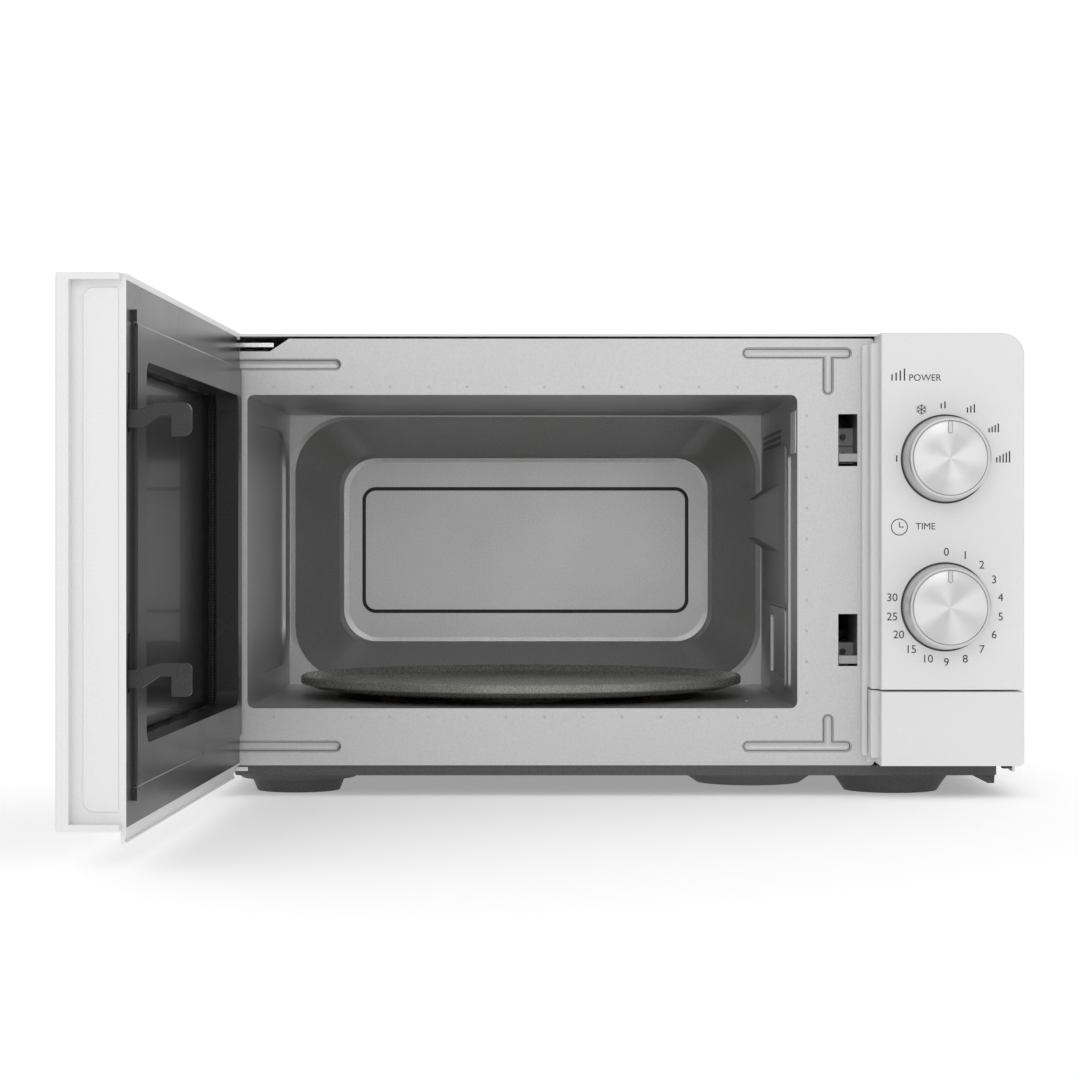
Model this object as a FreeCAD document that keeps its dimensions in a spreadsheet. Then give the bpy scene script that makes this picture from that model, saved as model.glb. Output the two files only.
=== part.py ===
import FreeCAD, Part
import math
import operator
import os
from types import SimpleNamespace

import Sketcher
from FreeCAD import Placement, Rotation, Vector

# A countertop microwave oven with its door open. Millimetres, +Z up, +Y to the back.
# The origin is under the middle of the cabinet, on the surface that the feet stand on.

os.makedirs("parts", exist_ok=True)
doc = FreeCAD.newDocument("microwave_oven")

# ---------------------------------------------------------------- driving dimensions

DIMENSIONS = {
    # cooking cavity, seen from the front
    "cavity_width": 311.8,
    "cavity_height": 177.7,
    "cavity_depth": 269.7,
    "cavity_floor_height": 49.8,
    "cavity_corner": 4.0,
    "sheet": 0.8,
    # room round the cavity
    "left_margin": 17.0,
    "compartment_width": 123.2,
    "roof_gap": 34.5,
    "rear_gap": 48.3,
    # cabinet wrapper
    "cabinet_bottom": 14.0,
    "cabinet_corner": 6.0,
    "hem_thickness": 1.4,
    "hem_length": 12.0,
    "rear_flange": 12.0,
    "emboss_height": 1.0,
    "emboss_margin": 46.0,
    # front plate
    "plate_thickness": 1.0,
    "plate_bottom": 17.5,
    "plate_top_gap": 2.7,
    "plate_edge_gap": 1.8,
    "plate_lap": 43.4,
    "bead_width": 6.8,
    "bead_depth": 2.4,
    "weld_radius": 0.75,
    "weld_depth": 0.8,
    "weld_pitch": 21.9,
    "slot_width": 10.9,
    "slot_height": 29.6,
    "slot_centre_from_cavity": 28.6,
    "upper_slot_below_ceiling": 25.7,
    "lower_slot_above_floor": 38.7,
    # back wall pocket
    "pocket_depth": 30.0,
    "pocket_rim_margin": 2.0,
    "pocket_rim_corner": 36.0,
    "pocket_side_slope": 31.5,
    "pocket_corner": 22.0,
    "pocket_lip": 1.4,
    "pocket_floor_round": 9.0,
    "pocket_line_width": 2.4,
    "pocket_line_depth": 1.6,
    # floor dish, turntable and rollers
    "table_from_cavity_left": 154.0,
    "table_from_front": 140.0,
    "tray_radius": 135.0,
    "tray_glass": 4.0,
    "tray_rim_height": 9.4,
    "wheel_radius": 7.0,
    "wheel_width": 7.0,
    "wheel_circle": 91.0,
    "wheel_axle_height": 46.0,
    "wheel_gap": 0.3,
    "axle_radius": 2.0,
    "running_gap": 0.05,
    "dish_radius": 108.0,
    "dish_slope": 5.0,
    "drive_shaft_radius": 3.5,
    "motor_radius": 24.5,
    "motor_height": 19.0,
    # base plate and feet
    "base_thickness": 1.0,
    "base_height": 11.7,
    "foot_inset": 47.0,
    "left_foot_radius": 24.0,
    "right_foot_radius": 27.0,
    # control panel
    "panel_depth": 33.0,
    "panel_width": 79.7,
    "panel_wall": 2.4,
    "panel_top_gap": 1.8,
    "panel_corner": 12.2,
    "panel_ledge_width": 4.4,
    "panel_ledge_depth": 20.4,
    "panel_step_width": 3.0,
    "panel_step_depth": 5.0,
    "button_bottom": 19.6,
    "button_height": 41.4,
    "button_gap": 0.9,
    "button_travel": 5.0,
    # knobs
    "knob_radius": 23.85,
    "knob_front_radius": 22.65,
    "knob_height": 20.0,
    "knob_lift": 0.6,
    "cap_radius": 20.6,
    "shaft_radius": 3.0,
    "knob_from_right": 44.0,
    "power_knob_below_top": 71.8,
    "timer_knob_height": 108.1,
    # door
    "door_open_angle": 91.7,
    "door_thickness": 30.0,
    "door_gap": 3.0,
    "door_bottom": 18.0,
    "door_lip": 5.9,
    "door_overhang": 6.9,
    "door_rim": 3.0,
    "door_skin": 3.5,
    "door_edge_clearance": 1.0,
    "pivot_from_left": 6.5,
    "pivot_from_front": 9.4,
    "hinge_pin_radius": 2.45,
    "hinge_plate": 2.3,
    "window_border": 38.0,
    "cover_thickness": 2.0,
    "plateau_height": 2.2,
    "plateau_step": 0.9,
    "recess_depth": 12.3,
    "recess_wall": 2.0,
    "hook_width": 4.6,
    # parts in the compartment
    "waveguide_depth": 30.0,
    "waveguide_height": 80.0,
    "transformer_width": 88.0,
    "transformer_height": 71.0,
    "fan_radius": 46.0,
}

sheet = doc.addObject("Spreadsheet::Sheet", "Sizes")
for row, (alias, value) in enumerate(DIMENSIONS.items(), start=1):
    sheet.set(f"A{row}", alias.replace("_", " "))
    sheet.set(f"B{row}", str(value))
    sheet.setAlias(f"B{row}", alias)
doc.recompute()


class Size:
    """A length with its number and the spreadsheet expression that gives it."""

    def __init__(self, text, number):
        self.text = text
        self.number = float(number)

    def __float__(self):
        return self.number

    def __neg__(self):
        return Size(f"(-1 * {self.text})", -self.number)


def as_size(value):
    return value if isinstance(value, Size) else Size(repr(float(value)), value)


def arithmetic(symbol, function):
    def forward(self, other):
        a, b = as_size(self), as_size(other)
        return Size(f"({a.text} {symbol} {b.text})", function(a.number, b.number))

    def backward(self, other):
        return forward(other, self)

    return forward, backward


Size.__add__, Size.__radd__ = arithmetic("+", operator.add)
Size.__sub__, Size.__rsub__ = arithmetic("-", operator.sub)
Size.__mul__, Size.__rmul__ = arithmetic("*", operator.mul)
Size.__truediv__, Size.__rtruediv__ = arithmetic("/", operator.truediv)

s = SimpleNamespace(**{a: Size(f"Sizes.{a}", sheet.get(a)) for a in DIMENSIONS})


# ---------------------------------------------------------------- helpers

NODES = []


def bind(item, **sizes):
    """Set properties of a document object to numbers and bind them to the sheet."""
    for name, size in sizes.items():
        size = as_size(size)
        setattr(item, name, size.number)
        item.setExpression(name, size.text)


def locate(item, x, y, z):
    for axis, size in zip("xyz", (x, y, z)):
        item.setExpression(f"Placement.Base.{axis}", as_size(size).text)
    item.Placement.Base = Vector(float(x), float(y), float(z))


def block(x, y, z):
    """A box between the two ends given for each axis."""
    item = doc.addObject("Part::Box", "block")
    bind(item, Length=x[1] - as_size(x[0]), Width=y[1] - as_size(y[0]))
    bind(item, Height=z[1] - as_size(z[0]))
    locate(item, x[0], y[0], z[0])
    return item


TURN = {
    "x": Rotation(Vector(0, 1, 0), 90),
    "y": Rotation(Vector(1, 0, 0), -90),
    "z": Rotation(),
}


def rod(axis, centre, span, radius):
    """A cylinder along x, y or z; centre holds its two other coordinates in order."""
    item = doc.addObject("Part::Cylinder", "rod")
    bind(item, Radius=radius, Height=span[1] - as_size(span[0]))
    item.Placement = Placement(Vector(), TURN[axis])
    place = list(centre)
    place.insert("xyz".index(axis), span[0])
    locate(item, *place)
    return item


def cone(centre, span, low_radius, high_radius):
    """A cone along z, from its low radius to its high radius."""
    item = doc.addObject("Part::Cone", "cone")
    bind(item, Radius1=low_radius, Radius2=high_radius, Height=span[1] - as_size(span[0]))
    locate(item, centre[0], centre[1], span[0])
    return item


def ball(x, y, z, radius):
    item = doc.addObject("Part::Sphere", "ball")
    bind(item, Radius=radius)
    locate(item, x, y, z)
    return item


def fuse(*items):
    item = doc.addObject("Part::MultiFuse", "fuse")
    item.Shapes = list(items)
    item.Refine = True
    return item


def group(*items):
    """Separate solids that share one node."""
    item = doc.addObject("Part::Compound", "group")
    item.Links = list(items)
    return item


def cut(base, *tools):
    item = doc.addObject("Part::Cut", "cut")
    item.Base = base
    item.Tool = tools[0] if len(tools) == 1 else group(*tools)
    item.Refine = True
    return item


def common(first, second):
    item = doc.addObject("Part::Common", "common")
    item.Base = first
    item.Tool = second
    return item


def rounded(base, radius, chosen):
    """Fillet the edges that a test on their middle point and direction picks."""
    doc.recompute()
    picked = []
    for number, edge in enumerate(base.Shape.Edges, start=1):
        first, last = edge.FirstParameter, edge.LastParameter
        middle = edge.valueAt((first + last) / 2)
        along = edge.tangentAt(first)
        if edge.Curve.TypeId == "Part::GeomLine" and chosen(middle, along):
            picked.append((number, float(radius), float(radius)))
    item = doc.addObject("Part::Fillet", "fillet")
    item.Base = base
    item.Edges = picked
    return item


def near(value, size):
    return abs(value - float(size)) < 0.05


def origin_plane(body, role):
    return next(f for f in body.Origin.OriginFeatures if f.Role == role)


def sketch_on(body, role, offset=0.0):
    sketch = body.newObject("Sketcher::SketchObject", "outline")
    sketch.AttachmentSupport = [(origin_plane(body, role), "")]
    sketch.MapMode = "FlatFace"
    sketch.setExpression("AttachmentOffset.Base.z", as_size(offset).text)
    return sketch


def pin_point(sketch, geometry, position, x, y):
    """Hold one point of a sketch at a place from the sheet."""
    for kind, size in (("DistanceX", as_size(x)), ("DistanceY", as_size(y))):
        index = sketch.addConstraint(
            Sketcher.Constraint(kind, -1, 1, geometry, position, size.number)
        )
        sketch.setExpression(f"Constraints[{index}]", size.text)


def polygon(sketch, points):
    """A closed outline of straight lines through points whose places are sizes."""
    corners = [Vector(float(x), float(y), 0) for x, y in points]
    count = len(points)
    for i in range(count):
        sketch.addGeometry(Part.LineSegment(corners[i], corners[(i + 1) % count]), False)
    for i in range(count):
        sketch.addConstraint(Sketcher.Constraint("Coincident", i, 2, (i + 1) % count, 1))
    for i, (x, y) in enumerate(points):
        pin_point(sketch, i, 1, x, y)


def rounded_rectangle(sketch, x, y, radius):
    """A rectangle with round corners: four arcs joined by four tangent lines."""
    radius = as_size(radius)
    centres = [
        (x[0] + radius, y[0] + radius),
        (x[1] - radius, y[0] + radius),
        (x[1] - radius, y[1] - radius),
        (x[0] + radius, y[1] - radius),
    ]
    r = radius.number
    for i, (cx, cy) in enumerate(centres):
        start = math.pi * (1 + i / 2)
        circle = Part.Circle(Vector(float(cx), float(cy), 0), Vector(0, 0, 1), r)
        sketch.addGeometry(Part.ArcOfCircle(circle, start, start + math.pi / 2), False)
    for i in range(4):
        end = sketch.Geometry[i].EndPoint
        start = sketch.Geometry[(i + 1) % 4].StartPoint
        sketch.addGeometry(Part.LineSegment(end, start), False)
    for i in range(4):
        sketch.addConstraint(Sketcher.Constraint("Tangent", i, 2, 4 + i, 1))
        sketch.addConstraint(Sketcher.Constraint("Tangent", 4 + i, 2, (i + 1) % 4, 1))
        index = sketch.addConstraint(Sketcher.Constraint("Radius", i, r))
        sketch.setExpression(f"Constraints[{index}]", radius.text)
        pin_point(sketch, i, 3, *centres[i])


def new_body():
    return doc.addObject("PartDesign::Body", "body")


def revolved(points):
    """A body of revolution about its own z axis, from (radius, height) points."""
    body = new_body()
    sketch = sketch_on(body, "XZ_Plane")
    polygon(sketch, points)
    turned = body.newObject("PartDesign::Revolution", "revolution")
    turned.Profile = sketch
    turned.ReferenceAxis = (sketch, ["V_Axis"])
    turned.Angle = 360
    sketch.Visibility = False
    return body


def extruded(points, role, start, length):
    """A body padded from a polygon on an origin plane."""
    body = new_body()
    sketch = sketch_on(body, role, start)
    polygon(sketch, points)
    pad = body.newObject("PartDesign::Pad", "pad")
    pad.Profile = sketch
    bind(pad, Length=length)
    return body


def node(item, label, placement=None):
    """Name a finished sub-part and put it in its place, wrapped if its own is bound."""
    if placement is not None and any("Placement" in name for name, _ in item.ExpressionEngine):
        item = group(item)
    item.Label = label
    if placement is not None:
        item.Placement = placement
    NODES.append(item)
    return item


# ---------------------------------------------------------------- the frame of the oven

left = -(s.left_margin + s.cavity_width + s.compartment_width) / 2
right = -left
front = -(s.cavity_depth + s.rear_gap) / 2
back = -front
top = s.cavity_floor_height + s.cavity_height + s.roof_gap

cavity_left = left + s.left_margin
cavity_right = cavity_left + s.cavity_width
cavity_floor = s.cavity_floor_height
cavity_top = cavity_floor + s.cavity_height
upper_slot = cavity_top - s.upper_slot_below_ceiling
lower_slot = cavity_floor + s.lower_slot_above_floor
cavity_front = front + s.plate_thickness
cavity_back = front + s.cavity_depth

plate_left = left + s.plate_edge_gap
plate_right = cavity_right + s.plate_lap
plate_top = top - s.plate_top_gap
plate_back = front + s.plate_thickness

table_x = cavity_left + s.table_from_cavity_left
table_y = front + s.table_from_front

base_top = s.base_height + s.base_thickness
compartment_left = cavity_right + s.sheet
compartment_right = right - s.sheet

slot_x = cavity_right + s.slot_centre_from_cavity
slot_x0 = slot_x - s.slot_width / 2
slot_x1 = slot_x + s.slot_width / 2


# ---------------------------------------------------------------- cavity and front plate


def front_plate():
    """Painted steel front with the cavity opening, latch slots, beads and weld marks."""
    body = new_body()
    outline = sketch_on(body, "XZ_Plane", -front)
    rounded_rectangle(outline, (plate_left, plate_right), (s.plate_bottom, plate_top), 2)
    pad = body.newObject("PartDesign::Pad", "pad")
    pad.Profile = outline
    pad.Reversed = True
    bind(pad, Length=s.plate_thickness)
    doc.recompute()
    whole = body.Shape.Volume

    openings = sketch_on(body, "XZ_Plane", -front)
    rounded_rectangle(
        openings, (cavity_left, cavity_right), (cavity_floor, cavity_top), s.cavity_corner
    )
    holes = body.newObject("PartDesign::Pocket", "pocket")
    holes.Profile = openings
    bind(holes, Length=s.plate_thickness)
    doc.recompute()
    if body.Shape.Volume > 0.7 * whole:
        raise ValueError("the cavity opening doesn't cut the front plate")

    tools = []
    for height in (upper_slot, lower_slot):
        low, high = height - s.slot_height / 2, height + s.slot_height / 2
        tools.append(block((slot_x0, slot_x1), (front - 1, plate_back + 1), (low, high)))
    hinge_left, hinge_right = plate_left - 1, plate_left + 33
    notch = [
        (hinge_left, plate_top + 1),
        (hinge_left, plate_top - 7.2),
        (hinge_right - 5, plate_top - 7.2),
        (hinge_right + 5, plate_top - 0.6),
        (hinge_right + 7, plate_top + 1),
    ]
    tools.append(extruded(notch, "XZ_Plane", -plate_back - 1, s.plate_thickness + 2))
    tools += weld_marks()
    plate = cut(body, *tools)

    grooves, backs = beads(s.bead_width / 2), beads(s.bead_width / 2 + s.plate_thickness)
    behind = block((plate_left, plate_right), (plate_back - 0.2, plate_back + s.bead_depth),
                   (s.plate_bottom, plate_top))
    return node(cut(fuse(plate, common(fuse(*backs), behind)), *grooves), "front_plate")


def beads(half_width):
    """Pressed grooves: round bars with ball ends sunk in the front of the plate."""
    sagitta = s.bead_depth
    half = s.bead_width / 2
    radius = (half * half + sagitta * sagitta) / (2 * sagitta) + (half_width - half)
    depth = front - (half * half - sagitta * sagitta) / (2 * sagitta)
    inset = s.bead_width / 2
    low, high = s.plate_bottom + 10.7, plate_top - 8.2
    right_bar = (cavity_right - 31.4 + inset, cavity_right + 31.0 - inset)
    left_bar = (plate_left + 6.2 + inset, plate_left + 68.5 - inset)
    items = []
    for ends, height in (
        (right_bar, low), (right_bar, high), (left_bar, low), (left_bar, high - 6.5)
    ):
        items.append(rod("x", (depth, height), ends, radius))
        items += [ball(end, depth, height, radius) for end in ends]
    stem_x = cavity_right + 17.4
    for ends in ((low, cavity_floor - 6.5), (cavity_top + 3.1, high)):
        items.append(rod("z", (stem_x, depth), ends, radius))
    items.append(ball(stem_x, depth, cavity_floor - 6.5, radius))
    items.append(ball(stem_x, depth, cavity_top + 3.1, radius))
    return items


def weld_marks():
    """Small round spot-weld marks in rows round the cavity opening."""
    marks = []
    x_count = int(float(s.cavity_width) // float(s.weld_pitch))
    for i in range(x_count):
        x = cavity_right - 12 - i * s.weld_pitch
        marks += [(x, cavity_top + 4.3), (x, cavity_floor - 4.9)]
    z_count = int(float(s.cavity_height) // 17.4)
    for i in range(z_count):
        marks.append((cavity_right + 5.1, cavity_floor + 9 + i * 17.4))
    return [
        rod("y", place, (front - 1, front + s.weld_depth), s.weld_radius)
        for place in marks
    ]


def cavity_walls():
    """Five enamelled sheet walls, each a plate of its own, spot-welded at the edges."""
    y = (cavity_front, cavity_back)
    z = (cavity_floor, cavity_top)
    outer_left, outer_right = cavity_left - s.sheet, cavity_right + s.sheet

    panel_y, panel_z = (front + 25, front + 240), (cavity_floor + 14, cavity_top - 12)
    across = lambda middle, along: abs(along.x) > 0.9
    bulge = rounded(block((outer_left - 2, cavity_left), panel_y, panel_z), 30, across)
    dent = rounded(block((outer_left - 1.2, cavity_left + 1),
                         (panel_y[0] + 1, panel_y[1] - 1), (panel_z[0] + 1, panel_z[1] - 1)),
                   29, across)
    left_wall = fuse(block((outer_left, cavity_left), y, z), bulge)
    node(cut(left_wall, dent, *wall_dimples(cavity_left)), "cavity_left_wall")

    right_wall = block((cavity_right, outer_right), y, z)
    lamp_hole = block((cavity_right - 1, outer_right + 1), (front + 9, front + 41),
                      (cavity_top - 32.5, cavity_top - 8.5))
    guide_hole = block((cavity_right - 1, outer_right + 1), (table_y - 28, table_y + 84),
                       (guide_low + 8, guide_high - 8))
    low = cavity_floor + 8
    frame_high = guide_low - 13
    frame_outer = block((cavity_right - 1.6, cavity_right + 0.2), (front + 66, front + 176),
                        (low, frame_high))
    frame_inner = block((cavity_right - 3, cavity_right), (front + 71, front + 171),
                        (low + 4.5, frame_high - 4.5))
    rib = block((cavity_right - 1.2, cavity_right + 0.2), (front + 46, front + 60),
                (low, low + 138))
    frame = cut(rounded(frame_outer, 4, across), rounded(frame_inner, 2.5, across))
    ribs = fuse(frame, rounded(rib, 4, across))
    node(cut(fuse(right_wall, ribs), lamp_hole, guide_hole, *wall_dimples(cavity_right)),
         "cavity_right_wall")

    node(block((outer_left, outer_right), y, (cavity_top, cavity_top + s.sheet)),
         "cavity_ceiling")

    floor = block((outer_left, outer_right), y, (cavity_floor - s.sheet, cavity_floor))
    rim = s.dish_radius + s.dish_slope
    centre = (table_x, table_y)
    pressed = cone(centre, (dish_floor - s.sheet, cavity_floor), s.dish_radius + s.sheet,
                   rim + s.sheet)
    hollow = cone(centre, (dish_floor, cavity_floor), s.dish_radius, rim)
    hub_hole = rod("z", centre, (dish_floor - 2, cavity_floor), s.drive_shaft_radius + 1)
    node(cut(fuse(floor, pressed), hollow, hub_hole), "cavity_floor")

    node(back_wall((outer_left, outer_right), z), "cavity_back")


def wall_dimples(wall_x):
    """A column of small pressed dots near the front edge of a side wall."""
    x, reach = (wall_x - 0.5, wall_x + 0.5), cavity_top - 60.7 - cavity_floor - 27
    count = int(float(reach) // 5)
    return [rod("x", (front + 11, cavity_floor + 27 + 5 * i), x, 0.8) for i in range(count)]


def back_wall(x, z):
    """The back sheet with a deep rounded pocket pressed backwards, and a line in its floor."""
    flat = block(x, (cavity_back, cavity_back + s.sheet), z)
    margin, lip = s.pocket_rim_margin, s.pocket_lip
    bevel = tapered([
        (cavity_back, margin - lip, margin - lip, s.pocket_rim_corner + lip),
        (cavity_back + lip, margin + lip, margin + lip, s.pocket_rim_corner - lip),
    ])
    line_start = cavity_back + s.pocket_depth
    line_back = pocket_line(s.sheet, line_start, s.pocket_line_depth + s.sheet)
    line_front = pocket_line(0, line_start - 1, s.pocket_line_depth + 1)
    return cut(fuse(flat, pocket(s.sheet), line_back), pocket(0), bevel, line_front)


def pocket(grow):
    """The pocket's solid, grown by a sheet or not; its sides turn into the floor in steps."""
    turn, depth, slope = s.pocket_floor_round, s.pocket_depth + grow, s.pocket_side_slope
    sections = []
    for inwards, back in ((as_size(0), as_size(0)), (slope - turn * 0.29, depth - turn * 0.28),
                          (slope + turn * 0.03, depth - turn * 0.07), (slope + turn * 0.4, depth)):
        sections.append((
            cavity_back + back,
            s.pocket_rim_margin + inwards - grow,
            s.pocket_rim_margin + inwards * 0.8 - grow,
            s.pocket_rim_corner - (s.pocket_rim_corner - s.pocket_corner) * inwards / slope + grow,
        ))
    return tapered(sections)


def pocket_line(grow, start, depth):
    """A rounded rectangular ring, as wide as the pressed line and grown on both sides."""
    y, width = (start, start + depth), s.pocket_line_width
    x, z = (cavity_left + 46, cavity_right - 46.6), (cavity_floor + 46.3, cavity_top - 46.7)
    long_edges = lambda middle, along: abs(along.y) > 0.9
    ring = rounded(block((x[0] - grow, x[1] + grow), y, (z[0] - grow, z[1] + grow)),
                   9 + grow, long_edges)
    island = rounded(block((x[0] + width + grow, x[1] - width - grow), (start - 1, start + depth + 1),
                           (z[0] + width + grow, z[1] - width - grow)),
                     6.6 - grow, long_edges)
    return cut(ring, island)


def tapered(sections):
    """A straight-sided loft through rounded rectangles: (y, inset in x, inset in z, corner)."""
    body = new_body()
    outlines = []
    for y, inset_x, inset_z, corner in sections:
        outline = sketch_on(body, "XZ_Plane", -y)
        x, z = (cavity_left + inset_x, cavity_right - inset_x), (cavity_floor + inset_z,
                                                                  cavity_top - inset_z)
        rounded_rectangle(outline, x, z, corner)
        outlines.append(outline)
    loft = body.newObject("PartDesign::AdditiveLoft", "loft")
    loft.Profile = outlines[0]
    loft.Sections = outlines[1:]
    loft.Ruled = True
    return body


dish_floor = s.wheel_axle_height - s.wheel_radius - s.wheel_gap
guide_low = cavity_floor + (s.cavity_height - s.waveguide_height) / 2 + 19
guide_high = guide_low + s.waveguide_height

front_plate()
cavity_walls()


# ---------------------------------------------------------------- cabinet, rear and base


def outer_cabinet():
    """The painted wrapper: a steel sheet bent over the top and both sides."""
    side_edges = lambda middle, along: abs(along.y) > 0.9 and middle.z > 100

    def wrapper(inset, y):
        x = (left + inset, right - inset)
        shell = block(x, y, (s.cabinet_bottom, top - inset))
        corner = float(s.cabinet_corner) - min(float(inset), 1.4)
        return rounded(shell, corner, side_edges)

    outer = fuse(wrapper(as_size(0), (front, back)), side_emboss(0))
    hem_end = front + s.hem_length
    room = wrapper(s.sheet, (hem_end, back + 1))
    mouth = wrapper(s.hem_thickness, (front - 1, hem_end))
    below = block((left + s.hem_thickness, right - s.hem_thickness), (front - 1, hem_end),
                  (s.cabinet_bottom - 1, s.cabinet_bottom + 5))
    under = block((left + s.sheet, right - s.sheet), (hem_end, back + 1),
                  (s.cabinet_bottom - 1, s.cabinet_bottom + 5))
    shell = cut(outer, room, mouth, below, under, side_emboss(s.sheet), *side_vents())

    flange_sheet = wrapper(as_size(0), (back, back + s.sheet))
    flange_hole = block((left + s.rear_flange, right - s.rear_flange),
                        (back - 1, back + 2), (0, top - s.rear_flange))
    flange = cut(flange_sheet, flange_hole, *screw_rods(1.9, back - 1, back + 2))
    node(fuse(shell, flange), "outer_cabinet")


def side_emboss(inset):
    """Shallow raised fields pressed outwards in both sides of the wrapper."""
    y = (front + s.emboss_margin, back - s.emboss_margin)
    z = (top - 204 + inset, top - 60 - inset)
    ends = (left - s.emboss_height + inset, right + s.emboss_height - inset)
    field = block(ends, (y[0] + inset, y[1] - inset), z)
    return rounded(field, 18, lambda middle, along: abs(along.x) > 0.9)


def side_vents():
    """Rows of narrow air slots low down near the back of both sides."""
    tools = []
    for i in range(8):
        y = back - 38 + i * 4
        for x in ((left - 2, left + 2), (right - 2, right + 2)):
            tools.append(block(x, (y, y + 2), (26, 50)))
    return tools


def screw_places():
    side = s.rear_flange / 2
    return [
        (left + side, as_size(60)), (left + side, top - 40), (right - side, as_size(60)),
        (right - side, top - 40), (left + 90, top - side), (right - 90, top - side),
    ]


def screw_rods(radius, start, end):
    return [rod("y", place, (start, end), radius) for place in screw_places()]


def rear_panel():
    """Flat back sheet with an air outlet grille and the mains inlet hole."""
    panel = block((left + 1.4, right - 1.4), (back - s.sheet, back),
                  (s.plate_bottom, top - 1.4))
    panel = rounded(panel, s.cabinet_corner, lambda middle, along:
                    abs(along.y) > 0.9 and middle.z > float(top) - 3)
    tools = screw_rods(1.9, back - 3, back + 1)
    tools.append(rod("y", gland_place, (back - 3, back + 1), 7.1))
    for i in range(12):
        for k in range(3):
            x = right - 112 + i * 7
            z = fan_z - 34 + k * 24
            tools.append(block((x, x + 3.5), (back - 3, back + 1), (z, z + 18)))
    for i in range(10):
        x = left + 60 + i * 9
        tools.append(block((x, x + 4), (back - 3, back + 1), (top - 60, top - 34)))
    node(cut(panel, *tools), "rear_panel")


def base_plate():
    """Dark base pressed from one sheet: hollow round feet, a boss and turned-up edges."""
    x, y = (left + 9.4, right - 9.4), (plate_back, back - s.sheet)
    wall = s.base_thickness
    feet = foot_places()
    outer = [rounded(block(x, y, (s.base_height, s.plate_bottom)), 6,
                     lambda middle, along: abs(along.z) > 0.9)]
    room = block((x[0] + wall, x[1] - wall), (y[0] + wall, y[1] - wall),
                 (base_top, s.plate_bottom + 1))
    inner = [rounded(room, 5, lambda middle, along: abs(along.z) > 0.9)]
    for fx, fy, radius, wide, step in feet:
        for low, high, low_radius, high_radius in (
            (as_size(0), step, radius, radius + 3),
            (step, base_top, radius + wide - 6, radius + wide),
        ):
            outer.append(cone((fx, fy), (low, high), low_radius, high_radius))
            inner.append(cone((fx, fy), (low + wall, high + wall), low_radius - wall,
                              high_radius - wall))
    boss = (right - 148, front + s.foot_inset)
    outer.append(cone(boss, (4.6, base_top), 30, 42))
    inner.append(cone(boss, (4.6 + wall, base_top + wall), 29, 41))
    rib = [(right - 26, base_top), (right - 13.5, 6.4), (right - 9.8, 6.4), (right - 9.4, base_top)]
    outer.append(extruded(rib, "XZ_Plane", -front - 30, 18))
    node(cut(fuse(*outer), *inner), "base_plate")


def foot_places():
    """Foot centres, radii, how far each widens at the sheet, and the height of its step."""
    near_y, far_y = front + s.foot_inset, back - s.foot_inset
    left_foot, right_foot = s.left_foot_radius, s.right_foot_radius
    return [
        (left + 42.2, near_y, left_foot, 15, as_size(7.6)),
        (right - 65.1, near_y, right_foot, 9, as_size(4.5)),
        (left + 42.2, far_y, left_foot, 15, as_size(7.6)),
        (right - 42.2, far_y, left_foot, 12.5, as_size(4.5)),
    ]


def rear_fittings():
    """Wrapper screws, mains inlet gland, wall spacers and a small edge clip."""
    heads = [rod("y", place, (back + s.sheet, back + s.sheet + 2.2), 4)
             for place in screw_places()]
    shanks = screw_rods(1.8, back - 6, back + s.sheet)
    node(group(*(fuse(a, b) for a, b in zip(heads, shanks))), "cabinet_screws")

    collar = fuse(rod("y", gland_place, (back - 4, back), 7.0),
                  rod("y", gland_place, (back, back + 5), 10),
                  rod("y", gland_place, (back + 5, back + 16), 6.5))
    node(cut(collar, rod("y", gland_place, (back - 5, back + 20), 3.5)), "cord_gland")

    spacers = []
    for x in (left + 60, right - 60):
        pad = block((x - 9, x + 9), (back + s.sheet, back + 16), (top - 32, top - 24))
        spacers.append(rounded(pad, 3, lambda middle, along: abs(along.y) > 0.9))
    node(group(*spacers), "rear_spacers")

    node(block((right - 6.4, right - 1.6), (front + 1.5, front + 9), (15.5, 19)),
         "cabinet_clip")


gland_place = (right - 36, as_size(44))
fan_x, fan_z = right - 62, as_size(126)

outer_cabinet()
rear_panel()
base_plate()
rear_fittings()


# ---------------------------------------------------------------- control panel and knobs


panel_left = right - s.panel_width
panel_front = front - s.panel_depth
panel_top = top - s.panel_top_gap
panel_low = s.button_bottom + s.button_height + s.button_gap
ledge_left = panel_left - s.panel_ledge_width
step_left = ledge_left - s.panel_step_width
ledge_low, ledge_high = s.button_bottom + 3.8, panel_top - 5
knob_x = right - s.knob_from_right
knob_heights = {"power": top - s.power_knob_below_top, "timer": s.timer_knob_height}


def soft_front(middle, along):
    """The outline edges of a moulding's front face."""
    return near(middle.y, panel_front)


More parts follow.
